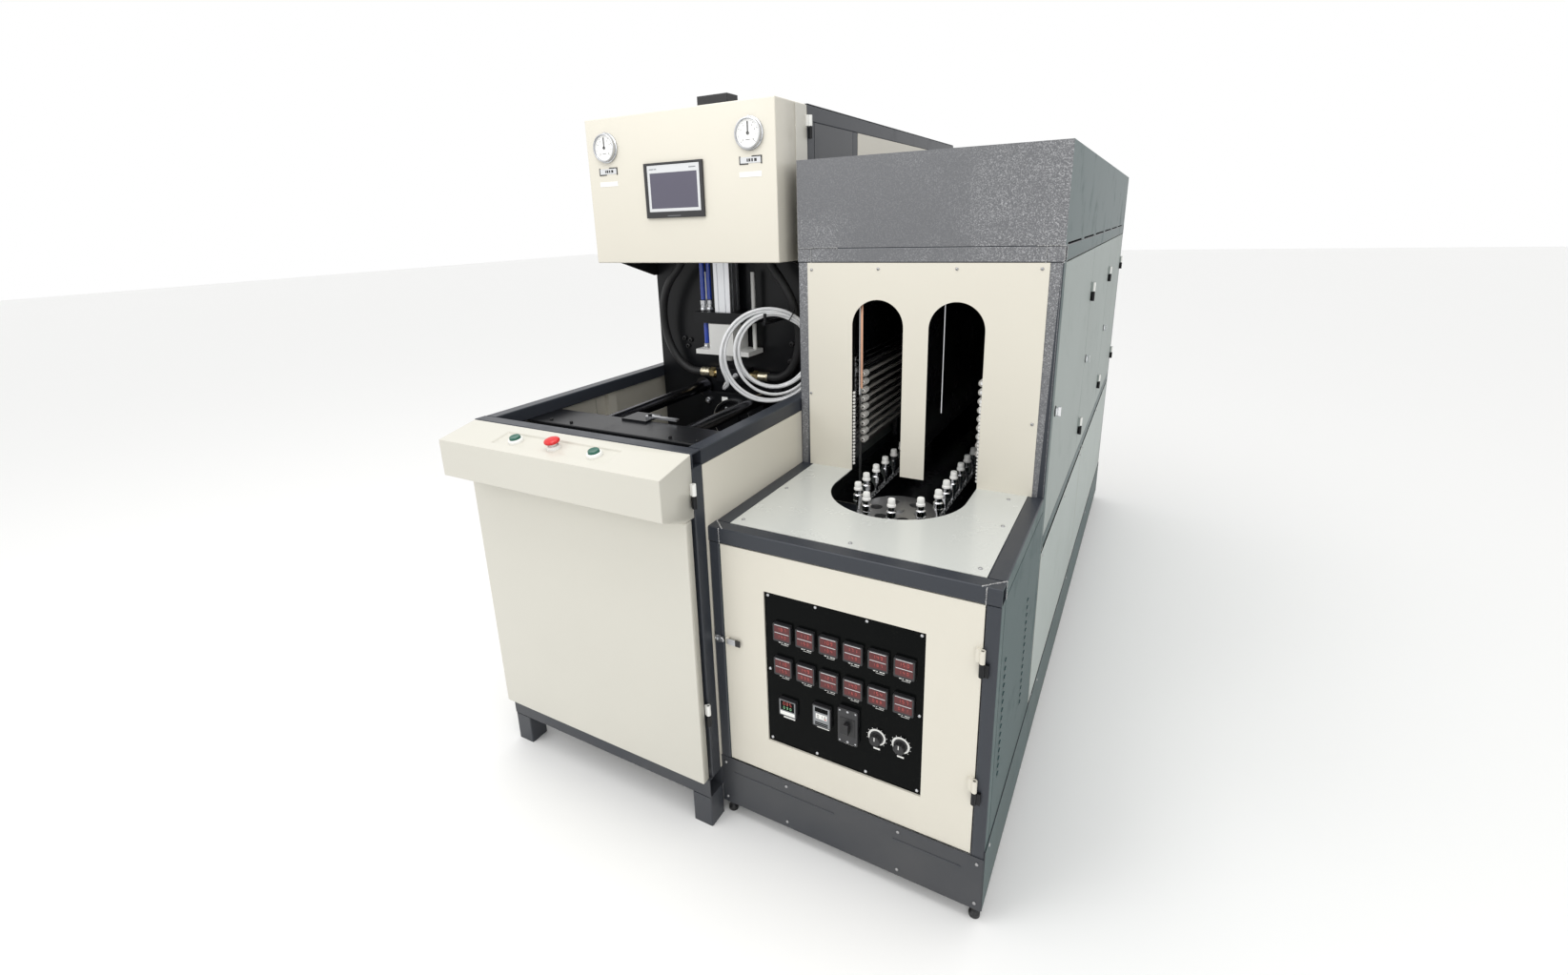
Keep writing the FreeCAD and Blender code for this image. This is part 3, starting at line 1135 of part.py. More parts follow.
def hose_coil():
    """The envelope of the coiled hose, hung on a peg that stands out of the back plate."""
    centre = V(ORIGIN[0].number - S.coil_x.number, ORIGIN[1].number + S.coil_y.number, S.coil_z.number)
    ellipse = Part.Ellipse(V(0, 0, 0), S.coil_half.number, S.coil_half_thick.number).toShape()
    ellipse.Placement = FreeCAD.Placement(V(S.coil_radius.number, 0, 0), FreeCAD.Rotation())
    ring = Part.Face(Part.Wire(ellipse)).revolve(V(), V(0, 1, 0), 360)
    upright = FreeCAD.Rotation(V(1, 0, 0), 90)
    facing = FreeCAD.Rotation(V(0, 0, 1), S.coil_turn.number)
    coil = shaped("Coil", ring if ring.ShapeType == "Solid" else Part.Solid(Part.Shell(ring.Faces)))
    coil.Placement = FreeCAD.Placement(centre, facing)
    keep("hose_coil", coil)
    keep("hose_lead", shaped("Lead", pipe(LEAD, S.lead_radius.number, "hose lead")))


def build():
    pins = []
    blower_frame()
    blower_sheets()
    station_plates()
    stretch_unit()
    mould_clamp()
    front_door(pins)
    buttons()
    head(pins)
    air_lines()
    hose_coil()
    heater_frame()
    heater_hood()
    tower_panel()
    shelf_plate()
    heater_front_door(pins)
    control_panel()
    panel_instruments()
    breaker()
    knob("knob_left", S.knob_left_x)
    knob("knob_right", S.knob_right_x)
    draw_latch()
    side_doors(pins)
    heater_sheets()
    heater_feet()
    conveyor()
    oven()
    keep("hinge_knuckles", compound(pins))


def export():
    """Checks every object, then writes one STEP file for each node."""
    doc.recompute()
    bad = [thing.Name for thing in doc.Objects if {"Invalid", "Error"} & set(thing.State)]
    if bad:
        raise RuntimeError(f"objects that failed: {bad}")
    for thing in nodes:
        if thing.Shape.isNull() or not thing.Shape.isValid() or not thing.Shape.Solids:
            raise RuntimeError(f"{thing.Label} has no valid shape")
    os.makedirs("parts", exist_ok=True)
    for thing in nodes:
        thing.Shape.exportStep(f"parts/{thing.Label}.step")
    print(f"{len(nodes)} nodes written")


build()
export()
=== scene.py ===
"""A stretch blow moulding machine with its preform heater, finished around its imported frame.

Places are given in millimetres as the machine's builder gives them: x from the seam between the
two cabinets, y from the heater's front and z from the floor. at() turns them into metres.
"""
import random
from math import atan2, cos, pi, radians, sin

import bmesh
import bpy
from mathutils import Matrix, Vector


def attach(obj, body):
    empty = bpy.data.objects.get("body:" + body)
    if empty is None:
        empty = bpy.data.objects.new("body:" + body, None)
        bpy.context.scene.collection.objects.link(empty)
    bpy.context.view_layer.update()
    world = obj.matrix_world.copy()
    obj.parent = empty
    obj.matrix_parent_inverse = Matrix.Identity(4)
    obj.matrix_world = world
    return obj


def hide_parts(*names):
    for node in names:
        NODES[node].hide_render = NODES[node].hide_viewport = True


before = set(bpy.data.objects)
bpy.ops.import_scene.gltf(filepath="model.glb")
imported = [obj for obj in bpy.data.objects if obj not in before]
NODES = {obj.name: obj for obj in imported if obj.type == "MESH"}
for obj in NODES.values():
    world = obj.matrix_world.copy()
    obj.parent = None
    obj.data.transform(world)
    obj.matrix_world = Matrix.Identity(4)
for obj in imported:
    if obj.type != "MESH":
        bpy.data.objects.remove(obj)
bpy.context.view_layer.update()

SEAM_X, FRONT_Y = 25.0, -1336.0
FLOOR = (0.90, 0.90, 0.89)
HOOD_RISE = atan2(24, 119)          # the slope of the button hood's top
COVER_FACE = 475                    # y of the head cover's front
GAUGE_Z = 1810
BACK_PLATE_Y = 770
HOSE_END_Z = 1065                   # z of the two rubber hoses' brass ends
PLATEN_X = -375                     # x of the mould's middle
PANEL_FACE = 7                      # y of the control panel's front
INSTRUMENT_FACE = PANEL_FACE - 10
KNOB_X, KNOB_Z = (("left", 441), ("right", 499)), 414
SIDE_X, SHELF_Z, TOWER_Y = 700, 867, 513    # the heater's right side, the shelf's top and the tower's front
LOUVRE_ROWS, LOUVRE_LOW, LOUVRE_PITCH = 15, 349, 21.4
BAYS_FROM, BAYS_TO = 555, 2800      # y of the three bays behind the side doors
BAY = (BAYS_TO - BAYS_FROM) / 3


link = bpy.context.scene.collection.objects.link


def at(x, y, z):
    return Vector(((x + SEAM_X) / 1000, (y + FRONT_Y) / 1000, z / 1000))


# ---------- camera
def set_camera():
    yaw, pitch, roll = radians(29.72), radians(-16.23), radians(-1.87)
    forward = Vector((-sin(yaw) * cos(pitch), cos(yaw) * cos(pitch), sin(pitch)))
    level = Vector((cos(yaw), sin(yaw), 0))
    upright = level.cross(forward)
    right = cos(roll) * level + sin(roll) * upright
    top = -sin(roll) * level + cos(roll) * upright
    data = bpy.data.cameras.new("Camera")
    view_wide = 1645.0     # the lens and the shifts are in shares of the view's width
    data.sensor_width = 36
    data.lens = 36 * 720.7 / view_wide
    data.shift_x = (822.5 - 807.9) / view_wide
    data.shift_y = -(511.5 - 442.6) / view_wide
    data.clip_end = 60
    camera = bpy.data.objects.new("Camera", data)
    turn = Matrix((right, top, -forward)).transposed().to_4x4()
    camera.matrix_world = Matrix.Translation(at(906, -1262, 1577)) @ turn
    link(camera)
    bpy.context.scene.camera = camera


set_camera()


# ---------- node groups
def new_group(name, inputs):
    """A shader node group: {name: (kind, value)} in, and colour, roughness and height out.

    Returns it with what is given, what goes out and the place on the surface.
    """
    group = bpy.data.node_groups.new(name, "ShaderNodeTree")
    for label, (kind, value) in inputs.items():
        socket = group.interface.new_socket(label, in_out="INPUT", socket_type="NodeSocket" + kind)
        socket.default_value = value
    for label, kind in (("Colour", "Color"), ("Roughness", "Float"), ("Height", "Float")):
        group.interface.new_socket(label, in_out="OUTPUT", socket_type="NodeSocket" + kind)
    given, out = group.nodes.new("NodeGroupInput"), group.nodes.new("NodeGroupOutput")
    return group, given.outputs, out.inputs, add_node(group, "TexCoord").outputs["Object"]


def put_out(group, out, colour, rough, height):
    for label, value in (("Colour", colour), ("Roughness", rough), ("Height", height)):
        group.links.new(value, out[label])
    return group


def add_node(tree, kind, links=None, **settings):
    """A node with its settings, and its inputs as {socket: value or another node's output}."""
    node = tree.nodes.new("ShaderNode" + kind)
    for key, value in settings.items():
        setattr(node, key, value)
    for key, value in (links or {}).items():
        if isinstance(value, bpy.types.NodeSocket):
            tree.links.new(value, node.inputs[key])
        else:
            node.inputs[key].default_value = value
    return node


def ramp(tree, factor, low, high):
    """A smooth mask that goes from 0 at low to 1 at high."""
    return add_node(tree, "MapRange", {"Value": factor, "From Min": low, "From Max": high},
        interpolation_type="SMOOTHSTEP").outputs["Result"]


def mix_colour(tree, factor, a, b, blend="MIX"):
    """Two colours mixed. Sockets 6 and 7 are the Mix node's colours, and output 2 is its colour."""
    return add_node(tree, "Mix", {0: factor, 6: a, 7: b}, data_type="RGBA", blend_type=blend).outputs[2]


def maths(tree, operation, a, b=0.0):
    return add_node(tree, "Math", {0: a, 1: b}, operation=operation).outputs[0]


def noise(tree, place, scale, detail=3.0, rough=0.5):
    return add_node(tree, "TexNoise", {"Vector": place, "Scale": scale, "Detail": detail,
        "Roughness": rough}).outputs["Fac"]


def make_sprayed_paint():
    """Powder coat: slow drifts of tone, a fine orange peel, and a few rubbed patches."""
    group, given, out, place = new_group("Sprayed paint", {"Colour": ("Color", (0.5, 0.5, 0.5, 1)),
        "Drift": ("Float", 0.06), "Sheen roughness": ("Float", 0.35), "Peel size": ("Float", 420.0),
        "Dust": ("Float", 0.12)})
    drift = noise(group, place, 2.2, 4.0)
    patch = ramp(group, noise(group, place, 9.0, 6.0, 0.65), 0.52, 0.78)
    darker = mix_colour(group, given["Drift"], given["Colour"], (0.32, 0.30, 0.27, 1), "MULTIPLY")
    colour = mix_colour(group, drift, given["Colour"], darker)
    height = add_node(group, "SeparateXYZ", {"Vector": place}).outputs["Z"]
    low = maths(group, "SUBTRACT", 1.0, ramp(group, height, 0.02, 0.55))
    dusty = maths(group, "MULTIPLY", maths(group, "MULTIPLY", low, ramp(group, drift, 0.35, 0.7)),
        given["Dust"])
    colour = mix_colour(group, dusty, colour, (0.36, 0.34, 0.31, 1))
    rough = maths(group, "ADD", given["Sheen roughness"], maths(group, "MULTIPLY", patch, 0.10))
    rough = maths(group, "ADD", rough, maths(group, "MULTIPLY", dusty, 0.5))
    peel = noise(group, place, given["Peel size"], 2.0)
    return put_out(group, out, colour, rough, peel)


def make_hammer_finish():
    """Hammered enamel: bright flecks on a dark ground, in cells a few millimetres wide."""
    group, given, out, place = new_group(
        "Hammer finish",
        {"Ground": ("Color", (0.06, 0.06, 0.07, 1)), "Fleck": ("Color", (0.3, 0.3, 0.32, 1)),
         "Cells": ("Float", 210.0), "Amount": ("Float", 0.5)})
    drift = add_node(group, "TexNoise", {"Vector": place, "Scale": 90.0}).outputs["Color"]
    wobble = add_node(group, "VectorMath", {0: drift, "Scale": 0.006}, operation="SCALE")
    warped = add_node(group, "VectorMath", {0: place, 1: wobble.outputs[0]}, operation="ADD")
    cells = add_node(group, "TexVoronoi", {"Vector": warped.outputs[0], "Scale": given["Cells"]},
        feature="SMOOTH_F1")
    distance = cells.outputs["Distance"]
    worn = ramp(group, noise(group, place, 3.0, 5.0, 0.6), 0.38, 0.68)
    fine = ramp(group, noise(group, place, 1300.0, 2.0), 0.46, 0.66)
    fleck = maths(group, "MULTIPLY", maths(group, "MULTIPLY", ramp(group, distance, 0.25, 0.75), fine),
        maths(group, "MULTIPLY", maths(group, "ADD", worn, 0.25), given["Amount"]))
    colour = mix_colour(group, fleck, given["Ground"], given["Fleck"])
    return put_out(group, out, colour, maths(group, "ADD", 0.32, maths(group, "MULTIPLY", distance, 0.3)),
        distance)


def make_drawn_metal():
    """Rolled or turned metal: fine lines along one direction, and faint clouds."""
    group, given, out, place = new_group(
        "Drawn metal",
        {"Colour": ("Color", (0.6, 0.6, 0.62, 1)), "Stretch": ("Vector", (40.0, 40.0, 900.0)),
         "Depth": ("Float", 0.25), "Sheen roughness": ("Float", 0.25)})
    lines = noise(group, add_node(group, "VectorMath", {0: place, 1: given["Stretch"]},
        operation="MULTIPLY").outputs[0], 1.0, 4.0, 0.7)
    clouds = noise(group, place, 14.0, 4.0, 0.6)
    colour = mix_colour(group, maths(group, "MULTIPLY", lines, given["Depth"]), given["Colour"],
        (0.12, 0.12, 0.13, 1))
    rough = maths(group, "ADD", given["Sheen roughness"], maths(group, "MULTIPLY", clouds, 0.16))
    return put_out(group, out, colour, rough, lines)


def make_moulded_skin():
    """Moulded plastic or rubber: a fine grain and slight unevenness of gloss."""
    group, given, out, place = new_group("Moulded skin", {"Colour": ("Color", (0.1, 0.1, 0.1, 1)),
        "Sheen roughness": ("Float", 0.4), "Grain": ("Float", 900.0)})
    grain = noise(group, place, given["Grain"], 2.0)
    smear = noise(group, place, 26.0, 5.0, 0.6)
    colour = mix_colour(group, maths(group, "MULTIPLY", smear, 0.22), given["Colour"], (0.5, 0.49, 0.47, 1),
        "SOFT_LIGHT")
    return put_out(group, out, colour, maths(group, "ADD", given["Sheen roughness"],
        maths(group, "MULTIPLY", smear, 0.12)), grain)


PAINT, HAMMER = make_sprayed_paint(), make_hammer_finish()
DRAWN, MOULDED = make_drawn_metal(), make_moulded_skin()


def finish(name, group, bump=0.1, depth=0.0004, metallic=0.0, shader=None, **values):
    """A material: one group's colour, roughness and height on a Principled shader."""
    material = bpy.data.materials.new(name)
    material.use_nodes = True
    tree = material.node_tree
    principled = tree.nodes["Principled BSDF"]
    surface = tree.nodes.new("ShaderNodeGroup")
    surface.node_tree = group
    for key, value in values.items():
        label = key.replace("_", " ")
        surface.inputs[label].default_value = (*value, 1) if label in ("Colour", "Ground", "Fleck") else value
    relief = add_node(tree, "Bump", {"Strength": bump, "Distance": depth,
        "Height": surface.outputs["Height"]})
    tree.links.new(surface.outputs["Colour"], principled.inputs["Base Color"])
    tree.links.new(surface.outputs["Roughness"], principled.inputs["Roughness"])
    tree.links.new(relief.outputs["Normal"], principled.inputs["Normal"])
    principled.inputs["Metallic"].default_value = metallic
    for key, value in (shader or {}).items():
        principled.inputs[key].default_value = value
    return material


def paint(name, colour, gloss=0.35, drift=0.10, coat=0.0, dust=0.08, peel=420.0, bump=0.10, specular=0.5):
    return finish(name, PAINT, bump=bump, Colour=colour, Sheen_roughness=gloss, Drift=drift, Dust=dust,
        Peel_size=peel, shader={"Coat Weight": coat, "Coat Roughness": 0.08, "Specular IOR Level": specular})


def metal(name, colour, rough=0.22, stretch=(40.0, 40.0, 900.0), depth=0.25, bump=0.06):
    return finish(name, DRAWN, bump=bump, metallic=1.0, Colour=colour, Sheen_roughness=rough, Stretch=stretch,
        Depth=depth)


def plastic(name, colour, rough=0.35, grain=900.0, bump=0.08, coat=0.0):
    return finish(name, MOULDED, bump=bump, Colour=colour, Sheen_roughness=rough, Grain=grain,
        shader={"Coat Weight": coat})


CREAM = paint("cream powder coat", (0.67, 0.64, 0.555), 0.38, 0.10)
CREAM_DOOR = paint("cream door enamel", (0.60, 0.585, 0.52), 0.32, 0.10, coat=0.1)
SIDE_CREAM = paint("shaded side enamel", (0.335, 0.375, 0.360), 0.42, 0.22, bump=0.04, specular=0.06)
# Painted shade: the cream sheets on the heater's right side, coloured darker grey green for the shade on that
# side.
SHADED_LOWER_SIDE = paint("cream with painted side shade", (0.42, 0.465, 0.445), 0.42, 0.20, bump=0.04, specular=0.06)
GREY_WHITE = paint("pale shelf enamel", (0.57, 0.585, 0.555), 0.26, 0.12, coat=0.25)
SLATE = paint("slate frame enamel", (0.034, 0.039, 0.049), 0.36, 0.25, coat=0.04, specular=0.35)
SLATE_DARK = paint("dark slate sheet", (0.024, 0.028, 0.036), 0.36, 0.25, coat=0.08)
# Painted reflection: dark slate on the right side, coloured grey green for the surroundings that its gloss
# reflects.
SLATE_SIDE_REFLECTION = paint("slate with painted grey green side reflection", (0.060, 0.098, 0.100), 0.40, 0.25, bump=0.04, specular=0.08)
# Painted reflection: the dark slate and hammered paint on the right side, coloured teal for what its gloss
# reflects there.
TEAL_SIDE_REFLECTION = paint("slate with painted teal side reflection", (0.026, 0.068, 0.070), 0.34, 0.35, bump=0.05, specular=0.12)
BLACK_STEEL = paint("black machine enamel", (0.0065, 0.007, 0.0085), 0.30, 0.3, coat=0.02, peel=260.0,
    specular=0.25)
BLACK_GLOSS = paint("black gloss panel", (0.003, 0.0035, 0.0035), 0.12, 0.0, bump=0.01, dust=0.0,
    specular=0.05)
BLACK_LINING = paint("black oven lining", (0.005, 0.005, 0.006), 0.26, 0.2, bump=0.05, dust=0.0, specular=0.3)
HAMMERED = finish("hammered slate enamel", HAMMER, bump=0.35, depth=0.0006, Ground=(0.115, 0.118, 0.126),
    Fleck=(0.62, 0.62, 0.63), Cells=330.0, Amount=0.9, shader={"Coat Weight": 0.25, "Coat Roughness": 0.2})
CHROME = metal("bright chrome", (0.82, 0.83, 0.85), 0.06, depth=0.05, bump=0.02)
STEEL = metal("brushed steel", (0.60, 0.61, 0.63), 0.24)
ZINC = metal("zinc plated steel", (0.50, 0.50, 0.50), 0.36, stretch=(120.0, 120.0, 120.0), depth=0.45)
BAR_STEEL = metal("dark guide bar", (0.09, 0.09, 0.10), 0.16, stretch=(900.0, 12.0, 900.0))
EXTRUDED = metal("anodised profile", (0.74, 0.75, 0.77), 0.28, stretch=(900.0, 900.0, 14.0), depth=0.04,
    bump=0.02)
BRASS = metal("worn brass", (0.78, 0.62, 0.32), 0.26, stretch=(300.0, 60.0, 300.0))
PALE_BRASS = metal("pale brass", (0.80, 0.73, 0.55), 0.24, stretch=(300.0, 60.0, 300.0))
COPPER = metal("copper bar", (0.86, 0.50, 0.34), 0.25, stretch=(900.0, 900.0, 20.0), depth=0.15)
MIRROR = metal("reflector sheet", (0.75, 0.76, 0.78), 0.12, stretch=(30.0, 4.0, 30.0), depth=0.10)
WHITE_PLASTIC = plastic("white plastic", (0.80, 0.80, 0.77), 0.34)
WHITE_BLOCK = plastic("white machined block", (0.72, 0.72, 0.70), 0.42)
BLACK_PLASTIC = plastic("black plastic", (0.012, 0.012, 0.013), 0.38)
DARK_BEZEL = plastic("dark bezel", (0.02, 0.02, 0.022), 0.30)
GREY_PLASTIC = plastic("grey plastic", (0.22, 0.23, 0.24), 0.42)
GREEN_PLASTIC = plastic("green push button", (0.003, 0.095, 0.062), 0.26, coat=0.4)
RED_PLASTIC = plastic("red stop button", (0.58, 0.008, 0.010), 0.30, coat=0.15)
RUBBER = plastic("black rubber hose", (0.013, 0.013, 0.014), 0.52, grain=500.0, bump=0.2)
BLUE_TUBE = plastic("blue air tube", (0.004, 0.045, 0.40), 0.14, bump=0.02, coat=0.6)
CLEAR_HOSE = finish("clear wound hose", DRAWN, bump=0.05, Colour=(0.96, 0.97, 0.98), Sheen_roughness=0.05,
    Stretch=(60.0, 60.0, 60.0), Depth=0.05, shader={"Transmission Weight": 0.25, "Coat Weight": 0.8,
    "Coat Roughness": 0.05, "IOR": 1.5})
CERAMIC = plastic("white ceramic", (0.78, 0.77, 0.73), 0.30)
QUARTZ = plastic("quartz lamp", (0.42, 0.40, 0.37), 0.10, bump=0.02, coat=0.6)
DIAL = plastic("dial face", (0.84, 0.84, 0.82), 0.35, bump=0.01)
DISPLAY = plastic("dim display", (0.075, 0.070, 0.105), 0.12, bump=0.0, coat=0.6)
KEY_GREY = plastic("key strip", (0.60, 0.61, 0.62), 0.36)
MOTOR_PAINT = paint("motor enamel", (0.045, 0.09, 0.12), 0.30, 0.2)


def glow(name, colour, strength):
    """A lit figure on a display."""
    material = plastic(name, colour, 0.3, bump=0.0)
    shader = material.node_tree.nodes["Principled BSDF"]
    shader.inputs["Emission Color"].default_value = (*colour, 1)
    shader.inputs["Emission Strength"].default_value = strength
    return material


RED_LIGHT = glow("red figures", (0.42, 0.07, 0.06), 0.12)
RED_PANE = glow("dark red pane", (0.085, 0.010, 0.011), 0.06)
GREEN_LIGHT = glow("green figures", (0.25, 0.55, 0.30), 0.25)


# ---------- mesh making
AXIS_TURN = {name: Matrix.Rotation(radians(degrees), 4, about) for name, degrees, about in (
    ("x", 90, "Y"), ("-x", -90, "Y"), ("y", -90, "X"), ("-y", 90, "X"), ("z", 0, "X"), ("-z", 180, "X"))}
AXIS_TURN["hood"] = Matrix.Rotation(HOOD_RISE, 4, "X")


def round_edges(thing, width, segments, angle):
    """A bevel modifier, in millimetres, on the edges sharper than an angle in degrees."""
    edge = thing.modifiers.new("edges", "BEVEL")
    edge.width, edge.segments = width / 1000, segments
    edge.limit_method, edge.angle_limit = "ANGLE", radians(angle)
    return edge


def enter(thing, body, replaces):
    """Gives a piece its body and hides the nodes that it stands for."""
    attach(thing, body)
    if replaces:
        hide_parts(*replaces)
    return thing


def bridge(bm, *rings):
    """Four-sided faces between closed rings of corners, each ring with the next."""
    for a, b in zip(rings, rings[1:]):
        for i in range(len(a)):
            j = (i + 1) % len(a)
            bm.faces.new((a[i], a[j], b[j], b[i]))


class Shape:
    """A mesh in the making, in the builder's millimetres."""

    def __init__(self):
        self.bm = bmesh.new()

    def block(self, x, y, z):
        size = [b - a for a, b in (x, y, z)]
        middle = [(a + b) / 2 for a, b in (x, y, z)]
        place = Matrix.Translation(middle) @ Matrix.Diagonal((*size, 1))
        bmesh.ops.create_cube(self.bm, size=1.0, matrix=place)
        return self

    def open_box(self, x, y, z):
        """A block without its rear face, to be given a wall."""
        self.block(x, y, z)
        for face in self.bm.faces:
            face.normal_update()
        back = [face for face in self.bm.faces if face.normal.y > 0.9]
        bmesh.ops.delete(self.bm, geom=back, context="FACES")
        return self

    def turned(self, centre, axis, profile, sides=32):
        """A turned piece: (radius, height) pairs round an axis from the centre. A radius of 0 closes it."""
        place = Matrix.Translation(centre) @ AXIS_TURN[axis]
        rings = []
        for radius, height in profile:
            if radius <= 0:
                rings.append([self.bm.verts.new(place @ Vector((0, 0, height)))])
                continue
            angles = [2 * pi * i / sides for i in range(sides)]
            rings.append([self.bm.verts.new(place @ Vector((radius * cos(a), radius * sin(a), height)))
                for a in angles])
        for a, b in zip(rings, rings[1:]):
            if len(a) > 1 and len(b) > 1:
                bridge(self.bm, a, b)
                continue
            for i in range(sides):
                j = (i + 1) % sides
                self.bm.faces.new((a[0], b[j], b[i]) if len(a) == 1 else (a[i], a[j], b[0]))
        return self

    def slab(self, outline, plane, low, high):
        """An outline in a plane ("xz", "yz" or "xy"), thickened from low to high across it."""
        def spot(a, b, c):
            return {"xz": (a, c, b), "yz": (c, a, b), "xy": (a, b, c)}[plane]
        ends = [[self.bm.verts.new(spot(a, b, c)) for a, b in outline] for c in (low, high)]
        self.bm.faces.new(ends[0])
        self.bm.faces.new(list(reversed(ends[1])))
        bridge(self.bm, ends[1], ends[0])
        return self

    def done(self, name, material, slot, body="machine", bevel=0.0, segments=2, angle=32, replaces=(),
            thick=None):
        bmesh.ops.recalc_face_normals(self.bm, faces=self.bm.faces)
        shift = Matrix.Translation((SEAM_X / 1000, FRONT_Y / 1000, 0)) @ Matrix.Scale(0.001, 4)
        bmesh.ops.transform(self.bm, matrix=shift, verts=self.bm.verts)
        mesh = bpy.data.meshes.new(name)
        self.bm.to_mesh(mesh)
        self.bm.free()
        mesh.materials.append(material)
        mesh.shade_smooth()
        mesh.set_sharp_from_angle(angle=radians(angle))
        thing = bpy.data.objects.new(name, mesh)
        link(thing)
        if bevel:
            round_edges(thing, bevel, segments, 30).harden_normals = True
        if thick:
            wall = thing.modifiers.new("wall", "SOLIDIFY")
            wall.thickness, wall.offset = thick / 1000, -1
            wall.use_even_offset = True
        return enter(thing, body, replaces)


def dress(material, *names, bevel=0.0, segments=2):
    """Gives CAD pieces their finish, smooth round faces and broken edges."""
    for name in names:
        node = NODES[name]
        for slot in node.material_slots:
            slot.material = material
        node.data.shade_smooth()
        node.data.set_sharp_from_angle(angle=radians(28))
        if bevel:
            round_edges(node, bevel, segments, 40)


def pan_screw(shape, x, y, z, axis="-y", radius=4.0):
    """A cross-recess pan head screw on a face."""
    shape.turned((x, y, z), axis, [(radius, 0), (radius, radius * 0.35), (radius * 0.75, radius * 0.62),
        (radius * 0.3, radius * 0.7), (radius * 0.16, radius * 0.45), (0, radius * 0.45)], 16)


def hex_bolt(shape, x, y, z, axis="-y", radius=9.0):
    """A hexagon bolt head on its washer."""
    shape.turned((x, y, z), axis, [(radius * 1.35, 0), (radius * 1.35, 1.6), (radius, 1.6)], 24)
    shape.turned((x, y, z), axis, [(radius, 1.6), (radius, radius * 0.75), (radius * 0.8, radius * 0.85),
        (0, radius * 0.85)], 6)


def socket_bolt(shape, x, y, z, axis="-y", radius=7.0):
    """A socket head cap screw."""
    shape.turned((x, y, z), axis, [(radius, 0), (radius, radius * 0.9), (radius * 0.85, radius),
        (radius * 0.5, radius)], 24)
    shape.turned((x, y, z), axis, [(radius * 0.5, radius), (radius * 0.5, radius * 0.4), (0, radius * 0.4)],
        6)


def curve(name, points, radius, material, closed=False, sides=6, replaces=()):
    """A round wire, hose or tube: one smooth spline through given points, in millimetres."""
    data = bpy.data.curves.new(name, "CURVE")
    data.dimensions = "3D"
    data.bevel_depth = radius / 1000
    data.bevel_resolution = sides
    data.use_fill_caps = True
    data.resolution_u = 8
    spline = data.splines.new("NURBS")
    spline.points.add(len(points) - 1)
    for point, place in zip(spline.points, points):
        point.co = (*at(*place), 1)
    spline.order_u = 3
    spline.use_endpoint_u = not closed
    spline.use_cyclic_u = closed
    data.materials.append(material)
    thing = bpy.data.objects.new(name, data)
    link(thing)
    return enter(thing, "machine", replaces)


# ---------- wound air hose
COIL_CENTRE = Vector((-158, 622, 1175))
COIL_ACROSS = Vector((cos(radians(29.7)), sin(radians(29.7)), 0))
COIL_AXIS = Vector((-COIL_ACROSS.y, COIL_ACROSS.x, 0))
LEAD = [(-352, 703, 1066), (-352, 675, 1066), (-350, 644, 1056), (-339, 612, 1048), (-319, 585, 1051),
    (-297, 566, 1064), (-279, 553.5, 1080)]
# Each turn's radius, its place along the coil's axis, and how far its middle is moved to the upper right.
TURNS = [(156, -6, -7), (154, 5, -8), (146, -2, -6), (126, -9, 7), (118, 2, 9), (127, 9, 8), (116, -4, 10)]
TURN_STEPS = 12


def on_coil(degrees, radius, along, aside=0.0):
    a = radians(degrees)
    flat = COIL_ACROSS * (radius * cos(a) + aside) + COIL_AXIS * along
    return tuple(COIL_CENTRE + flat + Vector((0, 0, radius * sin(a) + aside)))


def wound_hose():
    chance = random.Random(7)
    points = list(LEAD)
    steps = int((len(TURNS) - 0.45) * TURN_STEPS)
    for step in range(steps):
        turn = step / TURN_STEPS
        here = min(int(turn), len(TURNS) - 1)
        after = min(here + 1, len(TURNS) - 1)
        share = max(0.0, (turn - here - 0.6) / 0.4)
        radius, along, aside = [a + (b - a) * share for a, b in zip(TURNS[here], TURNS[after])]
        degrees = -172 - 360 * turn
        if step == 0:
            radius, along = 160, -8
        points.append(on_coil(degrees, radius + chance.uniform(-1.2, 1.2), along + chance.uniform(-0.8, 0.8),
            aside))
    hose = curve("wound_hose", points, 5, CLEAR_HOSE, replaces=("hose_coil", "hose_lead"))
    loop = []
    for step in range(14):
        a = 2 * pi * step / 14
        loop.append(on_coil(60, 137 + 20 * cos(a), 17 * sin(a)))
    tie = curve("hose_tie", loop, 1.6, BLACK_PLASTIC, closed=True, sides=3)


wound_hose()


def side_finish(node, material, toward=Vector((1, 0, 0)), lowest=-10.0):
    """Give the faces of a node that look one way, above a height in metres, a second finish."""
    mesh = NODES[node].data
    mesh.materials.append(material)
    index = len(mesh.materials) - 1
    for face in mesh.polygons:
        if face.normal.dot(toward) > 0.9 and face.center.z > lowest:
            face.material_index = index


# ---------- finishes on the frame's own pieces
dress(SLATE, "blower_frame", "heater_frame")
dress(SLATE_DARK, "base_skirt", "cabinet_dark_panels")
dress(HAMMERED, "heater_hood", bevel=1.0)
dress(CREAM, "blower_sheets", "heater_sheets", "tower_panel", bevel=0.6)
dress(CREAM, "heater_front_door", bevel=0.8)
dress(SIDE_CREAM, "side_door_front", "side_door_middle", "side_door_rear", bevel=0.8)
dress(GREY_WHITE, "shelf_plate", bevel=0.6)
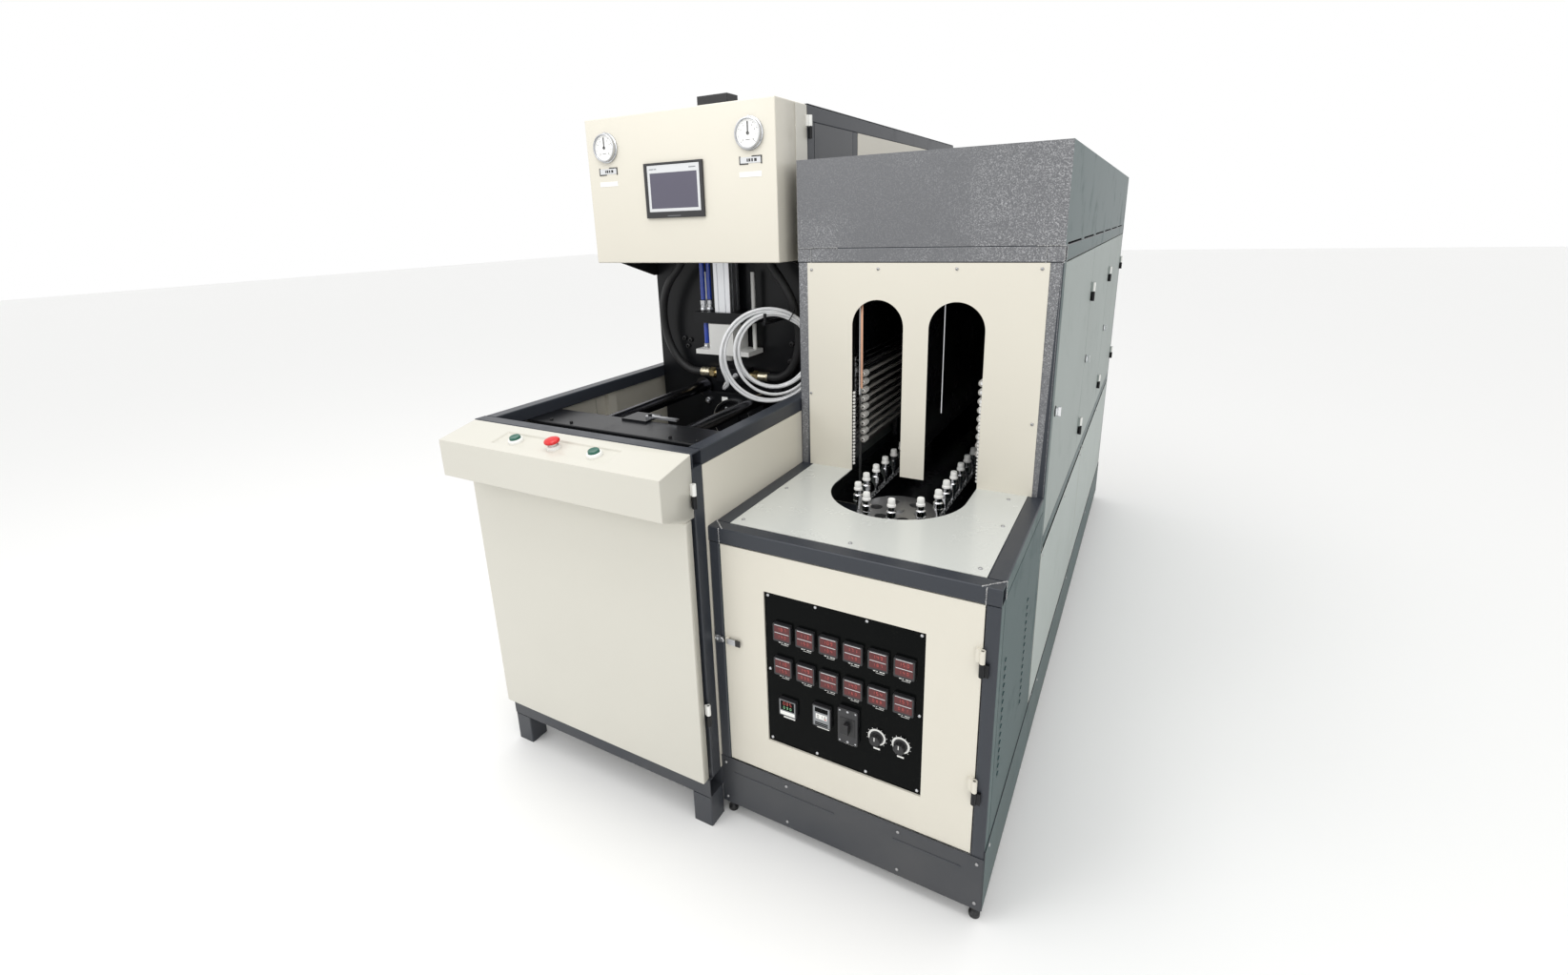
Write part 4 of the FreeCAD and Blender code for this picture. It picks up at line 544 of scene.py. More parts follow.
# The louvre panel is dark slate with the painted grey green reflection of the right side.
dress(SLATE_SIDE_REFLECTION, "louvre_panel")
dress(BLACK_STEEL, "station_back_plate", "cylinder_carrier", "moving_platen", "cylinder_bracket",
    "front_platen", bevel=1.2)
dress(BLACK_STEEL, "hinge_knuckles")
dress(BAR_STEEL, "tie_bars")
dress(STEEL, "clamp_cylinder", "mould_latch", "latch_lever", "latch_keeper", bevel=0.6)
dress(EXTRUDED, "seal_cylinder", bevel=0.8)
dress(CHROME, "stretch_rod", "side_lock_front", "side_lock_middle", "side_lock_rear", bevel=0.5)
dress(WHITE_BLOCK, "seal_head", bevel=1.6)
dress(BLACK_PLASTIC, "top_cylinder_cap", bevel=9.0, segments=4)
dress(BLUE_TUBE, "air_tubes")
dress(BLACK_GLOSS, "control_panel")
dress(DARK_BEZEL, "panel_instruments", bevel=1.2, segments=3)
dress(BLACK_PLASTIC, "breaker_lever", "knob_left", "knob_right", bevel=0.8)
dress(DARK_BEZEL, "main_breaker", bevel=1.6, segments=3)
dress(ZINC, "chain_wheel_front", "chain_wheel_rear", "oven_racks", bevel=0.5)
dress(QUARTZ, "heating_lamps")
dress(MOTOR_PAINT, "drive_motor", bevel=4.0, segments=3)
dress(BLACK_PLASTIC, "heater_feet", bevel=1.0)
dress(BLACK_PLASTIC, "gauge_needle_left", "gauge_needle_right")
# Painted reflection: the faces of the hood and the frame that look to +x get the teal copy of their dark
# paint.
side_finish("heater_hood", TEAL_SIDE_REFLECTION)
side_finish("heater_frame", TEAL_SIDE_REFLECTION)
side_finish("heater_frame", HAMMERED, Vector((0, -1, 0)), 0.9)
# Painted reflection: the skirt's faces that look to +x get the grey green copy of its dark paint.
side_finish("base_skirt", SLATE_SIDE_REFLECTION)
# Painted shade: the cream sheets' faces that look to +x get the darker grey green copy.
side_finish("heater_sheets", SHADED_LOWER_SIDE)
for up in (1, -1):
    side_finish("heater_sheets", BLACK_LINING, Vector((0, 0, up)), 0.6)
# Painted reflection on the louvre panel's +x faces.
side_finish("louvre_panel", SLATE_SIDE_REFLECTION)


# ---------- head cover, screen and gauges
def hinge_sleeve(radius):
    """The profile of a hinge's upper knuckle, bored for its pin."""
    return [(3.4, 0), (radius, 0), (radius, 30), (3.4, 30), (3.4, 0)]


def head_cover():
    shape = Shape().open_box((-715, -40), (COVER_FACE, 665), (1465, 1897))
    bm = shape.bm
    ends = [f for f in bm.faces if abs(f.normal.z) > 0.9]
    bmesh.ops.inset_individual(bm, faces=ends, thickness=18)
    bmesh.ops.delete(bm, geom=ends, context="FACES")
    shape.done("cover_shell", CREAM, "cream_white", "head_cover", bevel=4, segments=3, thick=2,
        replaces=("head_cover",))
    side = Shape().block((-40.2, -38.6), (592, 664.5), (1468, 1894))
    side.done("cover_side_lap", CREAM_DOOR, "cream_white", "head_cover", bevel=0.7)
    leaves = Shape()
    for z in (1838, 1526):
        leaves.turned((-30, 668, z), "z", hinge_sleeve(6), 20)
        leaves.block((-40, -31), (656, 664), (z, z + 30))
    leaves.done("cover_hinge_leaves", WHITE_PLASTIC, "white_gauge", "head_cover", bevel=0.8)


def touch_screen():
    x0, x1, z0, z1, face = -490, -278, 1598, 1755, COVER_FACE
    bezel = Shape()
    outer = [(x0, z0), (x1, z0), (x1, z1), (x0, z1)]
    inner = [(x0 + 11, z0 + 17), (x1 - 10, z0 + 17), (x1 - 10, z1 - 6), (x0 + 11, z1 - 6)]
    bm = bezel.bm
    front = [bm.verts.new((x, face - 9, z)) for x, z in outer]
    hole = [bm.verts.new((x, face - 9, z)) for x, z in inner]
    floor = [bm.verts.new((x, face - 6.4, z)) for x, z in inner]
    rear = [bm.verts.new((x, face - 0.3, z)) for x, z in outer]
    bridge(bm, rear, front, hole, floor)
    bm.faces.new(floor)
    bm.faces.new(rear)
    bezel.done("screen_bezel", DARK_BEZEL, "screen_grey", "head_cover", bevel=1.4, segments=3,
        replaces=("touch_screen",))
    x2, x3, z2, z3 = x0 + 12, x1 - 11, z0 + 18, z1 - 7
    left, right, low, high = x2 + 9, x3 - 9, z2 + 9, z3 - 22
    silver = Shape()
    for x, z in (((x2, x3), (high, z3)), ((x2, x3), (z2, low)), ((x2, left), (low, high)),
            ((right, x3), (low, high))):
        silver.block(x, (face - 7.4, face - 6.2), z)
    silver.done("screen_trim", KEY_GREY, "aluminium", "head_cover", bevel=0.4)
    Shape().block((left, right), (face - 7.0, face - 6.2), (low, high)).done("screen_display", DISPLAY,
        "panel_black", "head_cover", bevel=0.3)
    marks = Shape()
    for x, wide in ((x2 + 8, 16), (x2 + 26, 9), (x3 - 36, 24)):
        marks.block((x, x + wide), (face - 7.7, face - 7.3), (z3 - 12.5, z3 - 9.5))
    marks.block((x0 + 80, x0 + 128), (face - 9.3, face - 8.9), (z0 + 5, z0 + 6.4))
    marks.done("screen_marks", GREY_PLASTIC, "screen_grey", "head_cover")


def round_spot(x, z, radius, degrees):
    """The x and z of a place on a circle that faces -y."""
    return x + radius * cos(radians(degrees)), z + radius * sin(radians(degrees))


def gauge(name, x):
    z, face = GAUGE_Z, COVER_FACE
    case = Shape()
    case.turned((x, face, z), "-y", [(34, -1), (40, 0), (44, 0.5), (44, 4), (42.5, 5.5), (41, 6), (41.5, 13),
        (40.5, 15.5), (38, 16), (37, 15), (36.5, 11), (36, 10.5)], 64)
    for angle in (90, 210, 330):
        lug_x, lug_z = round_spot(x, z, 42.8, angle)
        case.turned((lug_x, face - 4.5, lug_z), "-y", [(3, 0), (3, 1.4), (0, 1.8)], 12)
    case.done(f"gauge_{name}_case", STEEL, "white_gauge", "head_cover", angle=40)
    dial = Shape().turned((x, face - 10.2, z), "-y", [(0, 0.3), (36.6, 0.3), (36.6, -0.2), (0, -0.2)], 48)
    dial.done(f"gauge_{name}_dial", DIAL, "white_gauge", "head_cover")
    marks = Shape()
    for step in range(41):
        angle = radians(225 - 270 * step / 40)
        long = 5.5 if step % 10 == 0 else (4 if step % 5 == 0 else 2.4)
        wide = 0.9 if step % 5 == 0 else 0.45
        c, s = cos(angle), sin(angle)
        outline = []
        for r, w in ((33 - long, -wide), (33, -wide), (33, wide), (33 - long, wide)):
            outline.append((x + r * c - w / 2 * s, z + r * s + w / 2 * c))
        marks.slab(outline, "xz", face - 10.9, face - 10.45)
    for number in range(9):
        figure(marks, str(number), *round_spot(x, z, 23.5, 225 - 270 * number / 8), 4.6, face - 10.8)
    marks.block((x - 7, x + 7), (face - 10.9, face - 10.5), (z - 17, z - 15.6))
    marks.done(f"gauge_{name}_scale", BLACK_PLASTIC, "needle_black", "head_cover")
    tag = Shape().block((x - 34, x + 34), (face - 1.4, face + 0.2), (z - 76, z - 60))
    rims = Shape()
    for low, high in ((x - 36, x - 33), (x + 33, x + 36)):
        rims.block((low, high), (face - 2.0, face + 0.2), (z - 79, z - 57))
    rims.block((x - 36, x - 8), (face - 1.8, face + 0.2), (z - 79, z - 76.5))
    rims.block((x + 4, x + 36), (face - 1.8, face + 0.2), (z - 59.5, z - 57))
    for start, wide in ((x - 12, 4), (x - 6, 6), (x + 3, 5), (x + 12, 8)):
        rims.block((start, start + wide), (face - 1.7, face - 1.2), (z - 72, z - 64))
    rims.done(f"gauge_{name}_clips", BLACK_PLASTIC, "needle_black", "head_cover", bevel=0.3)
    tag.done(f"gauge_{name}_tag", KEY_GREY, "aluminium", "head_cover", bevel=0.6)
    Shape().block((x - 38, x + 34), (face - 0.9, face + 0.2), (z - 112, z - 98)).done(f"gauge_{name}_label",
        WHITE_PLASTIC, "white_gauge", "head_cover", bevel=0.3)


# Seven strokes of a figure, as (x, z) from its middle in half heights, and whether each lies flat.
STROKES = {"a": (0, 1, True), "b": (0.5, 0.5, False), "c": (0.5, -0.5, False), "d": (0, -1, True),
    "e": (-0.5, -0.5, False), "f": (-0.5, 0.5, False), "g": (0, 0, True)}
FIGURES = {"0": "abcdef", "1": "bc", "2": "abged", "3": "abgcd", "4": "fgbc", "5": "afgcd", "6": "afgedc",
    "7": "abc", "8": "abcdefg", "9": "abcdfg"}


def figure(shape, sign, x, z, height, face):
    """One seven-stroke figure on a face that looks to -y."""
    half, thick = height / 2, height * 0.14
    for stroke in FIGURES[sign]:
        along, up, flat = STROKES[stroke]
        middle_x, middle_z = x + along * half, z + up * half
        wide, tall = (half - thick, thick) if flat else (thick, half - thick)
        shape.block((middle_x - wide / 2, middle_x + wide / 2), (face - 0.15, face + 0.15),
            (middle_z - tall / 2, middle_z + tall / 2))


def gauges():
    for name, x in (("left", -634), ("right", -120)):
        gauge(name, x)
    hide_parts("gauge_cases")


head_cover()
touch_screen()
gauges()


# ---------- front door and button hood
def button_hood():
    left, right = -748, -2
    door = Shape().open_box((left, right), (-85, -62), (158, 907))
    door.done("front_door_panel", CREAM_DOOR, "cream_white", "blower_door", bevel=3, segments=3, thick=2,
        replaces=("blower_front_door",))
    hood = Shape()
    bm = hood.bm
    profile = [(-168, 941), (-85, 907.5), (-49, 907.5), (-49, 1067), (-168, 1043)]
    sides = [[bm.verts.new((x, y, z)) for y, z in profile] for x in (left, right)]
    bm.faces.new(sides[0])
    bm.faces.new(list(reversed(sides[1])))
    for i, j in ((0, 1), (1, 2), (4, 0)):
        bm.faces.new((sides[0][i], sides[1][i], sides[1][j], sides[0][j]))
    slope = Vector((0, cos(HOOD_RISE), sin(HOOD_RISE)))
    square = Vector((0, -sin(HOOD_RISE), cos(HOOD_RISE)))
    middle_x = -379
    middle = Vector((middle_x, -108.5, 1055))
    corners = [(-198, -31), (198, -31), (198, 31), (-198, 31)]
    well = 6
    rim = [bm.verts.new(middle + Vector((x, 0, 0)) + slope * s) for x, s in corners]
    floor = [bm.verts.new(middle + Vector((x * 0.975, 0, 0)) + slope * s * 0.9 - square * well) for x,
        s in corners]
    outer = [sides[0][4], sides[1][4], sides[1][3], sides[0][3]]
    bridge(bm, outer, rim, floor)
    bm.faces.new(floor)
    hood.done("button_hood", CREAM_DOOR, "cream_white", "blower_door", bevel=2.6, segments=3, thick=2)
    rings, leaves = Shape(), Shape()
    for z in (967, 358):
        leaves.turned((7, -56, z + 1), "z", hinge_sleeve(6), 20)
        leaves.block((-2, 3), (-59, -55), (z + 1, z + 31))
    leaves.done("front_door_hinges", WHITE_PLASTIC, "white_gauge", "blower_door", bevel=0.8)
    for x, radius in ((-515, 17.5), (-243, 17.5), (middle_x, 15)):
        centre = middle + Vector((x - middle_x, 0, 0)) - square * well
        rings.turned(centre, "hood", [(radius + 2.5, 0), (radius + 2.5, 3.0), (radius + 1.6, 7.6),
            (radius, 9.4), (radius - 2.4, 9.6), (radius - 3, 8.4), (radius - 3.2, 1)], 40)
    rings.done("button_rings", WHITE_PLASTIC, "white_gauge", "blower_door", angle=45)
    for name, x in (("left", -515), ("right", -243)):
        centre = middle + Vector((x - middle_x, 0, 0)) - square * 2
        shape = Shape().turned(centre, "hood", [(0, 0.6), (14.2, 0.6), (14.2, 10.4), (13.2, 11.8), (12.0, 12),
            (9, 11.2), (0, 10.8)], 40)
        shape.done(f"start_cap_{name}", GREEN_PLASTIC, "green_button", f"start_button_{name}", angle=50,
            replaces=(f"start_button_{name}",))
    centre = middle - square * 2
    stop = Shape().turned(centre, "hood", [(0, 0.6), (9.6, 0.6), (9.6, 10), (18.6, 13.4), (20, 15.5),
        (20, 18), (18.6, 20.6), (14, 22.8), (7, 23.8), (0, 24)], 48)
    stop.done("stop_cap", RED_PLASTIC, "red_button", "emergency_button", angle=55,
        replaces=("emergency_button",))
    stem = Shape().turned(centre, "hood", [(10.2, 1), (10.2, 9.6), (12.5, 10.6)], 32)
    stem.done("stop_stem", WHITE_PLASTIC, "white_gauge", "emergency_button")


button_hood()


# ---------- blowing station
def blowing_station():
    station = Shape()
    for x, z in ((-600, 1178), (-574, 1172), (-586, 1150), (-158, 1180), (-166, 1120), (-600, 640),
            (-150, 640)):
        socket_bolt(station, x, BACK_PLATE_Y, z, "-y", 8)
    for x in (-620, -130):
        hex_bolt(station, x, 740, 1465, "-z", 8)
    for side in (-710, -46):
        station.slab([(560, 1464.5), (770, 1464.5), (770, 1404), (752, 1404)], "yz", side, side + 4)
    station.done("station_bolts", BLACK_PLASTIC, "black_steel", angle=40)
    for name, x in (("left", PLATEN_X - 147), ("right", PLATEN_X + 147)):
        collar = Shape().turned((x, BACK_PLATE_Y, 1006), "-y",
            [(20.4, 0), (33, 0), (33, 7), (29, 12), (20.4, 13.5)], 40)
        collar.done(f"bar_collar_{name}", STEEL, "bright_steel", angle=40)
    platen, ram_z = Shape(), 903
    socket_bolt(platen, -474, 720, 968, "-y", 11)
    for angle in range(0, 360, 60):
        x, z = round_spot(PLATEN_X, ram_z, 48, angle)
        socket_bolt(platen, x, 714.6, z, "-y", 5)
    platen.done("platen_bolts", STEEL, "bright_steel", "moving_platen", angle=40)
    rim = Shape().turned((PLATEN_X, 720, ram_z), "-y", [(73.4, 13.6), (74, 14.6), (76.5, 14.4), (77.4, 13),
        (77.4, 1)], 72)
    rim.done("platen_ring", CHROME, "bright_steel", "moving_platen", angle=50)
    Shape().block((-420, -396), (719, 720.2), (958, 984)).done("platen_plate", WHITE_PLASTIC, "white_gauge",
        "moving_platen", bevel=0.5)
    beam = Shape()
    for x in (-640, -560, -200, -110):
        socket_bolt(beam, x, 132, 1030, "z", 5)
    beam.done("beam_bolts", BLACK_PLASTIC, "black_steel", angle=40)
    lip = Shape()
    for x in (-748, -6):
        lip.block((x, x + 4), (-7, 998), (1012, 1017))
    for y in (430, 480):
        lip.block((-748, -744), (y, y + 3), (563, 1012))
    lip.done("bed_sheet_folds", CREAM_DOOR, "cream_white", bevel=0.8)
    manifold = Shape().block((-435, -315), (714, BACK_PLATE_Y - 0.4), (1040, 1090))
    manifold.done("air_manifold", BLACK_STEEL, "black_steel", bevel=2.5, segments=3,
        replaces=("air_fittings",))
    sleeve = [(13, 0), (16, 0), (17, 2), (17, 9), (16.2, 10), (16.2, 13), (17, 14), (17, 22), (16.2, 23),
        (16.2, 26), (17, 27), (17, 36), (15.5, 38), (11.5, 38)]
    ferrules, nuts, sleeves = Shape(), Shape(), Shape()
    sleeves.turned((-513, 742, HOSE_END_Z), "x", sleeve, 40)
    sleeves.turned((-237, 742, HOSE_END_Z), "-x", sleeve, 40)
    sleeves.done("hose_sleeves", PALE_BRASS, "bright_steel", angle=35)
    for x, axis in ((-474, "x"), (-276, "-x")):
        nuts.turned((x, 742, HOSE_END_Z), axis, [(11, 0), (17, 0), (19.5, 2.4), (19.5, 19), (17, 21.4),
            (11, 21.4)], 6)
        nuts.turned((x, 742, HOSE_END_Z), axis, [(12, 20), (12, 40)], 24)
    long_end = [(8.4, 12), (9.4, 13), (9.4, 22), (10.6, 23), (10.6, 37), (9, 39), (8.2, 39)]
    short_end = [(8.4, 12), (10, 12), (10, 16), (9.2, 17), (8.2, 17)]
    for x, y, z, end in ((-462, 700, 1289, long_end), (-444, 712, 1289, long_end),
            (-456, 700, 1162, short_end)):
        ferrules.turned((x, y, z), "z", [(0, 0), (10, 0), (11, 2), (11, 9), (9.6, 11), (9.6, 13)], 6)
        ferrules.turned((x, y, z), "z", end, 28)
    ferrules.turned((-352, 714, 1066), "-y", [(10, 0), (10, 5), (8.6, 6), (8.6, 10.5), (5.2, 10.8)], 24)
    ferrules.done("hose_ferrules", STEEL, "bright_steel", angle=35)
    nuts.done("hose_nuts", BRASS, "bright_steel", angle=25)


blowing_station()
# Each point of the two rubber hoses, as x of the left one, x of the right one, y and z.
HOSE_ROUTE = [(-500, -250, 742, 1065), (-512, -238, 742, 1065), (-556, -194, 742, 1065),
    (-602, -150, 739, 1092), (-636, -120, 732, 1146), (-652, -106, 724, 1210), (-650, -108, 714, 1280),
    (-630, -126, 706, 1345), (-594, -156, 700, 1398), (-552, -186, 698, 1436), (-541, -197, 698, 1459)]
for index, side in enumerate(("left", "right")):
    route = [(point[index], point[2], point[3]) for point in HOSE_ROUTE]
    curve(f"air_hose_{side}", route, 14, RUBBER, sides=8,
        replaces=("air_hoses",) if side == "left" else ())


# ---------- control panel
METER_X = [200 + 61 * i for i in range(6)]


def control_panel():
    face = INSTRUMENT_FACE
    dark, red, green, marks = Shape(), Shape(), Shape(), Shape()
    chance = random.Random(3)
    panes, rules = Shape(), Shape()
    for z in (530, 625):
        for x in METER_X:
            for low, high in ((z + 1.0, z + 20.5), (z - 18.5, z - 1.0)):
                panes.block((x - 20.5, x + 20.5), (face - 0.4, face + 0.5), (low, high))
            for row, tall in ((z + 11.5, 8.0), (z - 9.0, 6.5)):
                for i, sign in enumerate(f"{chance.randint(80, 190):03d}"):
                    figure(red, sign, x - 9 + 9 * i, row, tall, face - 0.6)
            for level in (z - 0.1, z + 20.6):
                rules.block((x - 19, x + 19), (face - 0.7, face + 0.4), (level - 0.4, level + 0.9))
            for i, wide in enumerate((5.5, 3.0, 6.5, 4.5)):
                marks.block((x - 14 + 7.6 * i, x - 14 + 7.6 * i + wide), (6.2, 7.1), (z - 33.5, z - 28.5))
            marks.block((x - 8, x + 12), (6.2, 7.1), (z - 37.4, z - 36.4))
    panes.done("meter_panes", RED_PANE, "red_button", "heater_door", bevel=0.5)
    rules.done("meter_rules", KEY_GREY, "aluminium", "heater_door")
    x, z = 210, 415
    dark.block((x - 19, x + 19), (face - 0.3, face + 0.5), (z - 7, z + 20))
    for i, sign in enumerate("085"):
        figure(red, sign, x - 9 + 9 * i, z + 13, 8.5, face - 0.5)
    for i, sign in enumerate("090"):
        figure(green, sign, x - 9 + 9 * i, z + 1, 6.5, face - 0.5)
    keys = Shape()
    keys.block((x - 20, x + 20), (face - 0.6, face + 0.2), (z - 20, z - 10))
    faces = Shape()
    faces.block((x - 21.5, x + 21.5), (face - 0.25, face + 0.3), (z - 21.5, z + 21.5))
    x, z = 303, 425
    faces.block((x - 21.5, x + 21.5), (face - 0.25, face + 0.3), (z - 27, z + 27))
    dark.block((x - 17, x + 17), (face - 0.8, face + 0.2), (z + 12, z + 24))
    keys.block((x - 15, x + 15), (face - 0.7, face + 0.2), (z - 7, z + 7))
    for low in (z - 25, z - 20):
        dark.block((x - 17, x + 17), (face - 0.8, face + 0.2), (low, low + 3))
    for i, sign in enumerate("012"):
        figure(dark, sign, x - 9 + 9 * i, z, 8, face - 0.9)
    red.block((x + 9, x + 13), (face - 1.1, face - 0.6), (z - 5, z - 2))
    faces.done("meter_faces", GREY_PLASTIC, "screen_grey", "heater_door", bevel=0.5)
    dark.done("meter_windows", BLACK_GLOSS, "panel_black", "heater_door", bevel=0.3)
    red.done("meter_red_figures", RED_LIGHT, "red_button", "heater_door")
    green.done("meter_green_figures", GREEN_LIGHT, "green_button", "heater_door")
    marks.done("meter_marks", WHITE_PLASTIC, "white_gauge", "heater_door", bevel=0.3)
    keys.done("meter_key_strips", WHITE_PLASTIC, "white_block", "heater_door", bevel=0.4)
    screws = Shape()
    for x, z in [(x, z) for z in (715, 305) for x in (160, 286, 414, 540)] + [(160, 510), (540, 510)]:
        screws.turned((x, PANEL_FACE, z), "-y", [(4.2, 0), (4.2, 0.8), (3.4, 2.4), (1.8, 3.2), (0, 3.4)], 20)
    for x, z in ((372, 466), (372, 382)):
        screws.turned((x, -5, z), "-y", [(3, 0), (3, 0.7), (2, 1.5), (0, 1.7)], 16)
    for x, z in ((352, 466), (392, 466), (352, 382), (392, 382)):
        screws.turned((x, -5, z), "-y", [(2.2, 0), (2.2, 0.5), (0, 1)], 12)
    screws.done("panel_screws", STEEL, "bright_steel", "heater_door", angle=45)
    Shape().block((353, 391), (-6.2, -4.6), (400, 448)).done("breaker_window", BLACK_PLASTIC, "black_plastic",
        "heater_door", bevel=0.5)
    rings, lines = Shape(), Shape()
    for _, x in KNOB_X:
        rings.turned((x, PANEL_FACE, KNOB_Z), "-y", [(16.5, -0.4), (21.5, -0.2), (21.5, 0.5), (16.5, 0.6),
            (16.5, -0.4)], 48)
        for step in range(11):
            angle = radians(225 - 27 * step)
            c, s = cos(angle), sin(angle)
            corners = ((22.5, -0.4), (25.5, -0.4), (25.5, 0.4), (22.5, 0.4))
            lines.slab([(x + r * c - w * s, KNOB_Z + r * s + w * c) for r, w in corners], "xz", 6.5, 7.1)
    for x, wide, low in ((441, 8, 380), (499, 8, 380), (372, 14, 365), (303, 16, 384), (210, 16, 378)):
        lines.block((x - wide, x + wide), (6.3, 7.1), (low, low + 4))
    rings.done("knob_rings", WHITE_PLASTIC, "white_gauge", "heater_door", angle=50)
    lines.done("knob_scales", WHITE_PLASTIC, "white_gauge", "heater_door")
    for side, x in KNOB_X:
        knob = Shape()
        knob.turned((x, 6.6, KNOB_Z), "-y", [(0, 0), (16.4, 0), (16.6, 3.4), (13.6, 4.6), (12.6, 16.6),
            (11.2, 18), (0, 18.1)], 40)
        for degrees in range(0, 360, 30):
            rib_x, rib_z = round_spot(x, KNOB_Z, 12.6, degrees)
            knob.turned((rib_x, 1.6, rib_z), "-y", [(0, 0), (1.8, 0), (1.6, 11), (0, 11.4)], 8)
        knob.done(f"knob_{side}_grip", BLACK_PLASTIC, "black_plastic", f"knob_{side}", angle=40,
            replaces=(f"knob_{side}",))
        Shape().block((x - 0.9, x + 0.9), (-11.9, -11.2), (416, 426)).done(f"knob_{side}_line", WHITE_PLASTIC,
            "white_gauge", f"knob_{side}")


control_panel()


# ---------- heater outside
def heater_outside():
    screws = Shape()
    for x, z in ((43, 1444), (653, 1449), (36, 1088), (657, 1063), (240, 1447), (450, 1448)):
        pan_screw(screws, x, TOWER_Y, z)
    for x, y in ((640, 70), (640, 300), (60, 70), (60, 300), (350, 62), (620, 470)):
        pan_screw(screws, x, y, SHELF_Z, "z", 4.5)
    for x in (15, 200, 500, 685):
        for z in (58, 172):
            pan_screw(screws, x, -2, z)
    for y in (40, 700, 1400, 2100, 2790):
        pan_screw(screws, SIDE_X + 2, y, 196, "x")
    for y in (580, 1040, 1500, 1600, 2200, 2780):
        for z in (226, 676):
            pan_screw(screws, SIDE_X, y, z, "x")
    screws.done("sheet_screws", ZINC, "bright_steel", angle=45)
    folds = Shape()
    for x0, x1 in ((38, 334), (487, 650)):
        folds.block((x0, x1), (-3.2, -1.8), (144, 149))
    folds.done("skirt_ribs", SLATE, "frame_grey", bevel=1.2)
    lips, slot_shades = Shape(), Shape()
    for y in (85, 358):
        for i in range(LOUVRE_ROWS):
            z = LOUVRE_LOW + LOUVRE_PITCH * i
            # Painted shade: a thin black block in each louvre slot stands for the shade inside the slot.
            slot_shades.block((699.6, 700.5), (y - 2, y + 11), (z - 1.5, z + 4.5))
            lips.slab([(y - 3, z + 4.5), (y + 12, z + 4.5), (y + 10, z + 8), (y - 1, z + 8)], "yz", 699.4,
                702.2)
    slot_shades.done("louvre_slot_shade", BLACK_LINING, "panel_black")
    # The louvre lips carry the painted grey green reflection of the right side.
    lips.done("louvre_lips", SLATE_SIDE_REFLECTION, "side_green_grey", bevel=0.7)
    beads = Shape()
    chance = random.Random(11)
    runs = [((41, 514.6, 1464), (40, 514.6, 1502)), ((659, 514.6, 1464), (660, 514.6, 1502)),
        ((2, 514.4, 1503), (120, 514.4, 1503)), ((640, 514.4, 1503), (698, 514.4, 1503)),
        ((31, -0.4, 828), (31, -0.4, 866)), ((669, -0.4, 828), (669, -0.4, 866)),
        ((699.6, 41, 828), (699.6, 41, 866)), ((699.6, 516, 1464), (699.6, 516, 1502)),
        ((699.6, 554, 1464), (699.6, 554, 1502)), ((40, 1, 867.2), (1, 39, 867.2)),
        ((660, 1, 867.2), (699, 39, 867.2))]
    for start, end in runs:
        start, end = Vector(start), Vector(end)
        count = max(2, int((end - start).length / 3.2))
        for i in range(count + 1):
            spot = start.lerp(end, i / count)
            size = chance.uniform(1.5, 2.5)
            bmesh.ops.create_icosphere(beads.bm, subdivisions=1, radius=size,
                matrix=Matrix.Translation(spot + Vector([chance.uniform(-0.5, 0.5) for _ in range(3)])))
    beads.done("weld_beads", ZINC, "hammertone_grey", angle=80)
    loop = [(6, -4, 563), (16, -6.5, 566), (29, -7, 565), (33, -7, 559), (29, -7, 553), (16, -6.5, 552),
        (6, -4, 555)]
    curve("latch_wire", loop, 1.3, CHROME, closed=True, sides=4)
    rivets = Shape()
    for x, z in ((10, 563), (10, 555)):
        rivets.turned((x, -4, z), "-y", [(3.4, 0), (3.2, 0.9), (1.8, 1.7), (0, 2)], 20)
    rivets.done("keeper_rivets", STEEL, "bright_steel", angle=50)
    Shape().block((66, 80), (-6.8, -2.6), (550.5, 567.5)).done("latch_grip", BLACK_PLASTIC, "black_plastic",
        "latch_lever", bevel=1.2, segments=3)


heater_outside()


# ---------- oven
WHEEL_FRONT, WHEEL_REAR, OVEN_X, PITCH_RADIUS = 404.0, 2540.0, 347.0, 108.4
STRAIGHT = WHEEL_REAR - WHEEL_FRONT
WAY_ROUND = 2 * STRAIGHT + 2 * pi * PITCH_RADIUS


def on_chain(way):
    """The place and heading of a point on the chain's middle line."""
    way %= WAY_ROUND
    if way < STRAIGHT:
        return OVEN_X + PITCH_RADIUS, WHEEL_FRONT + way, pi / 2
    way -= STRAIGHT
    if way < pi * PITCH_RADIUS:
        a = way / PITCH_RADIUS
        return OVEN_X + PITCH_RADIUS * cos(a), WHEEL_REAR + PITCH_RADIUS * sin(a), a + pi / 2
    way -= pi * PITCH_RADIUS
    if way < STRAIGHT:
        return OVEN_X - PITCH_RADIUS, WHEEL_REAR - way, -pi / 2
    a = (way - STRAIGHT) / PITCH_RADIUS
    return OVEN_X - PITCH_RADIUS * cos(a), WHEEL_FRONT - PITCH_RADIUS * sin(a), a - pi / 2


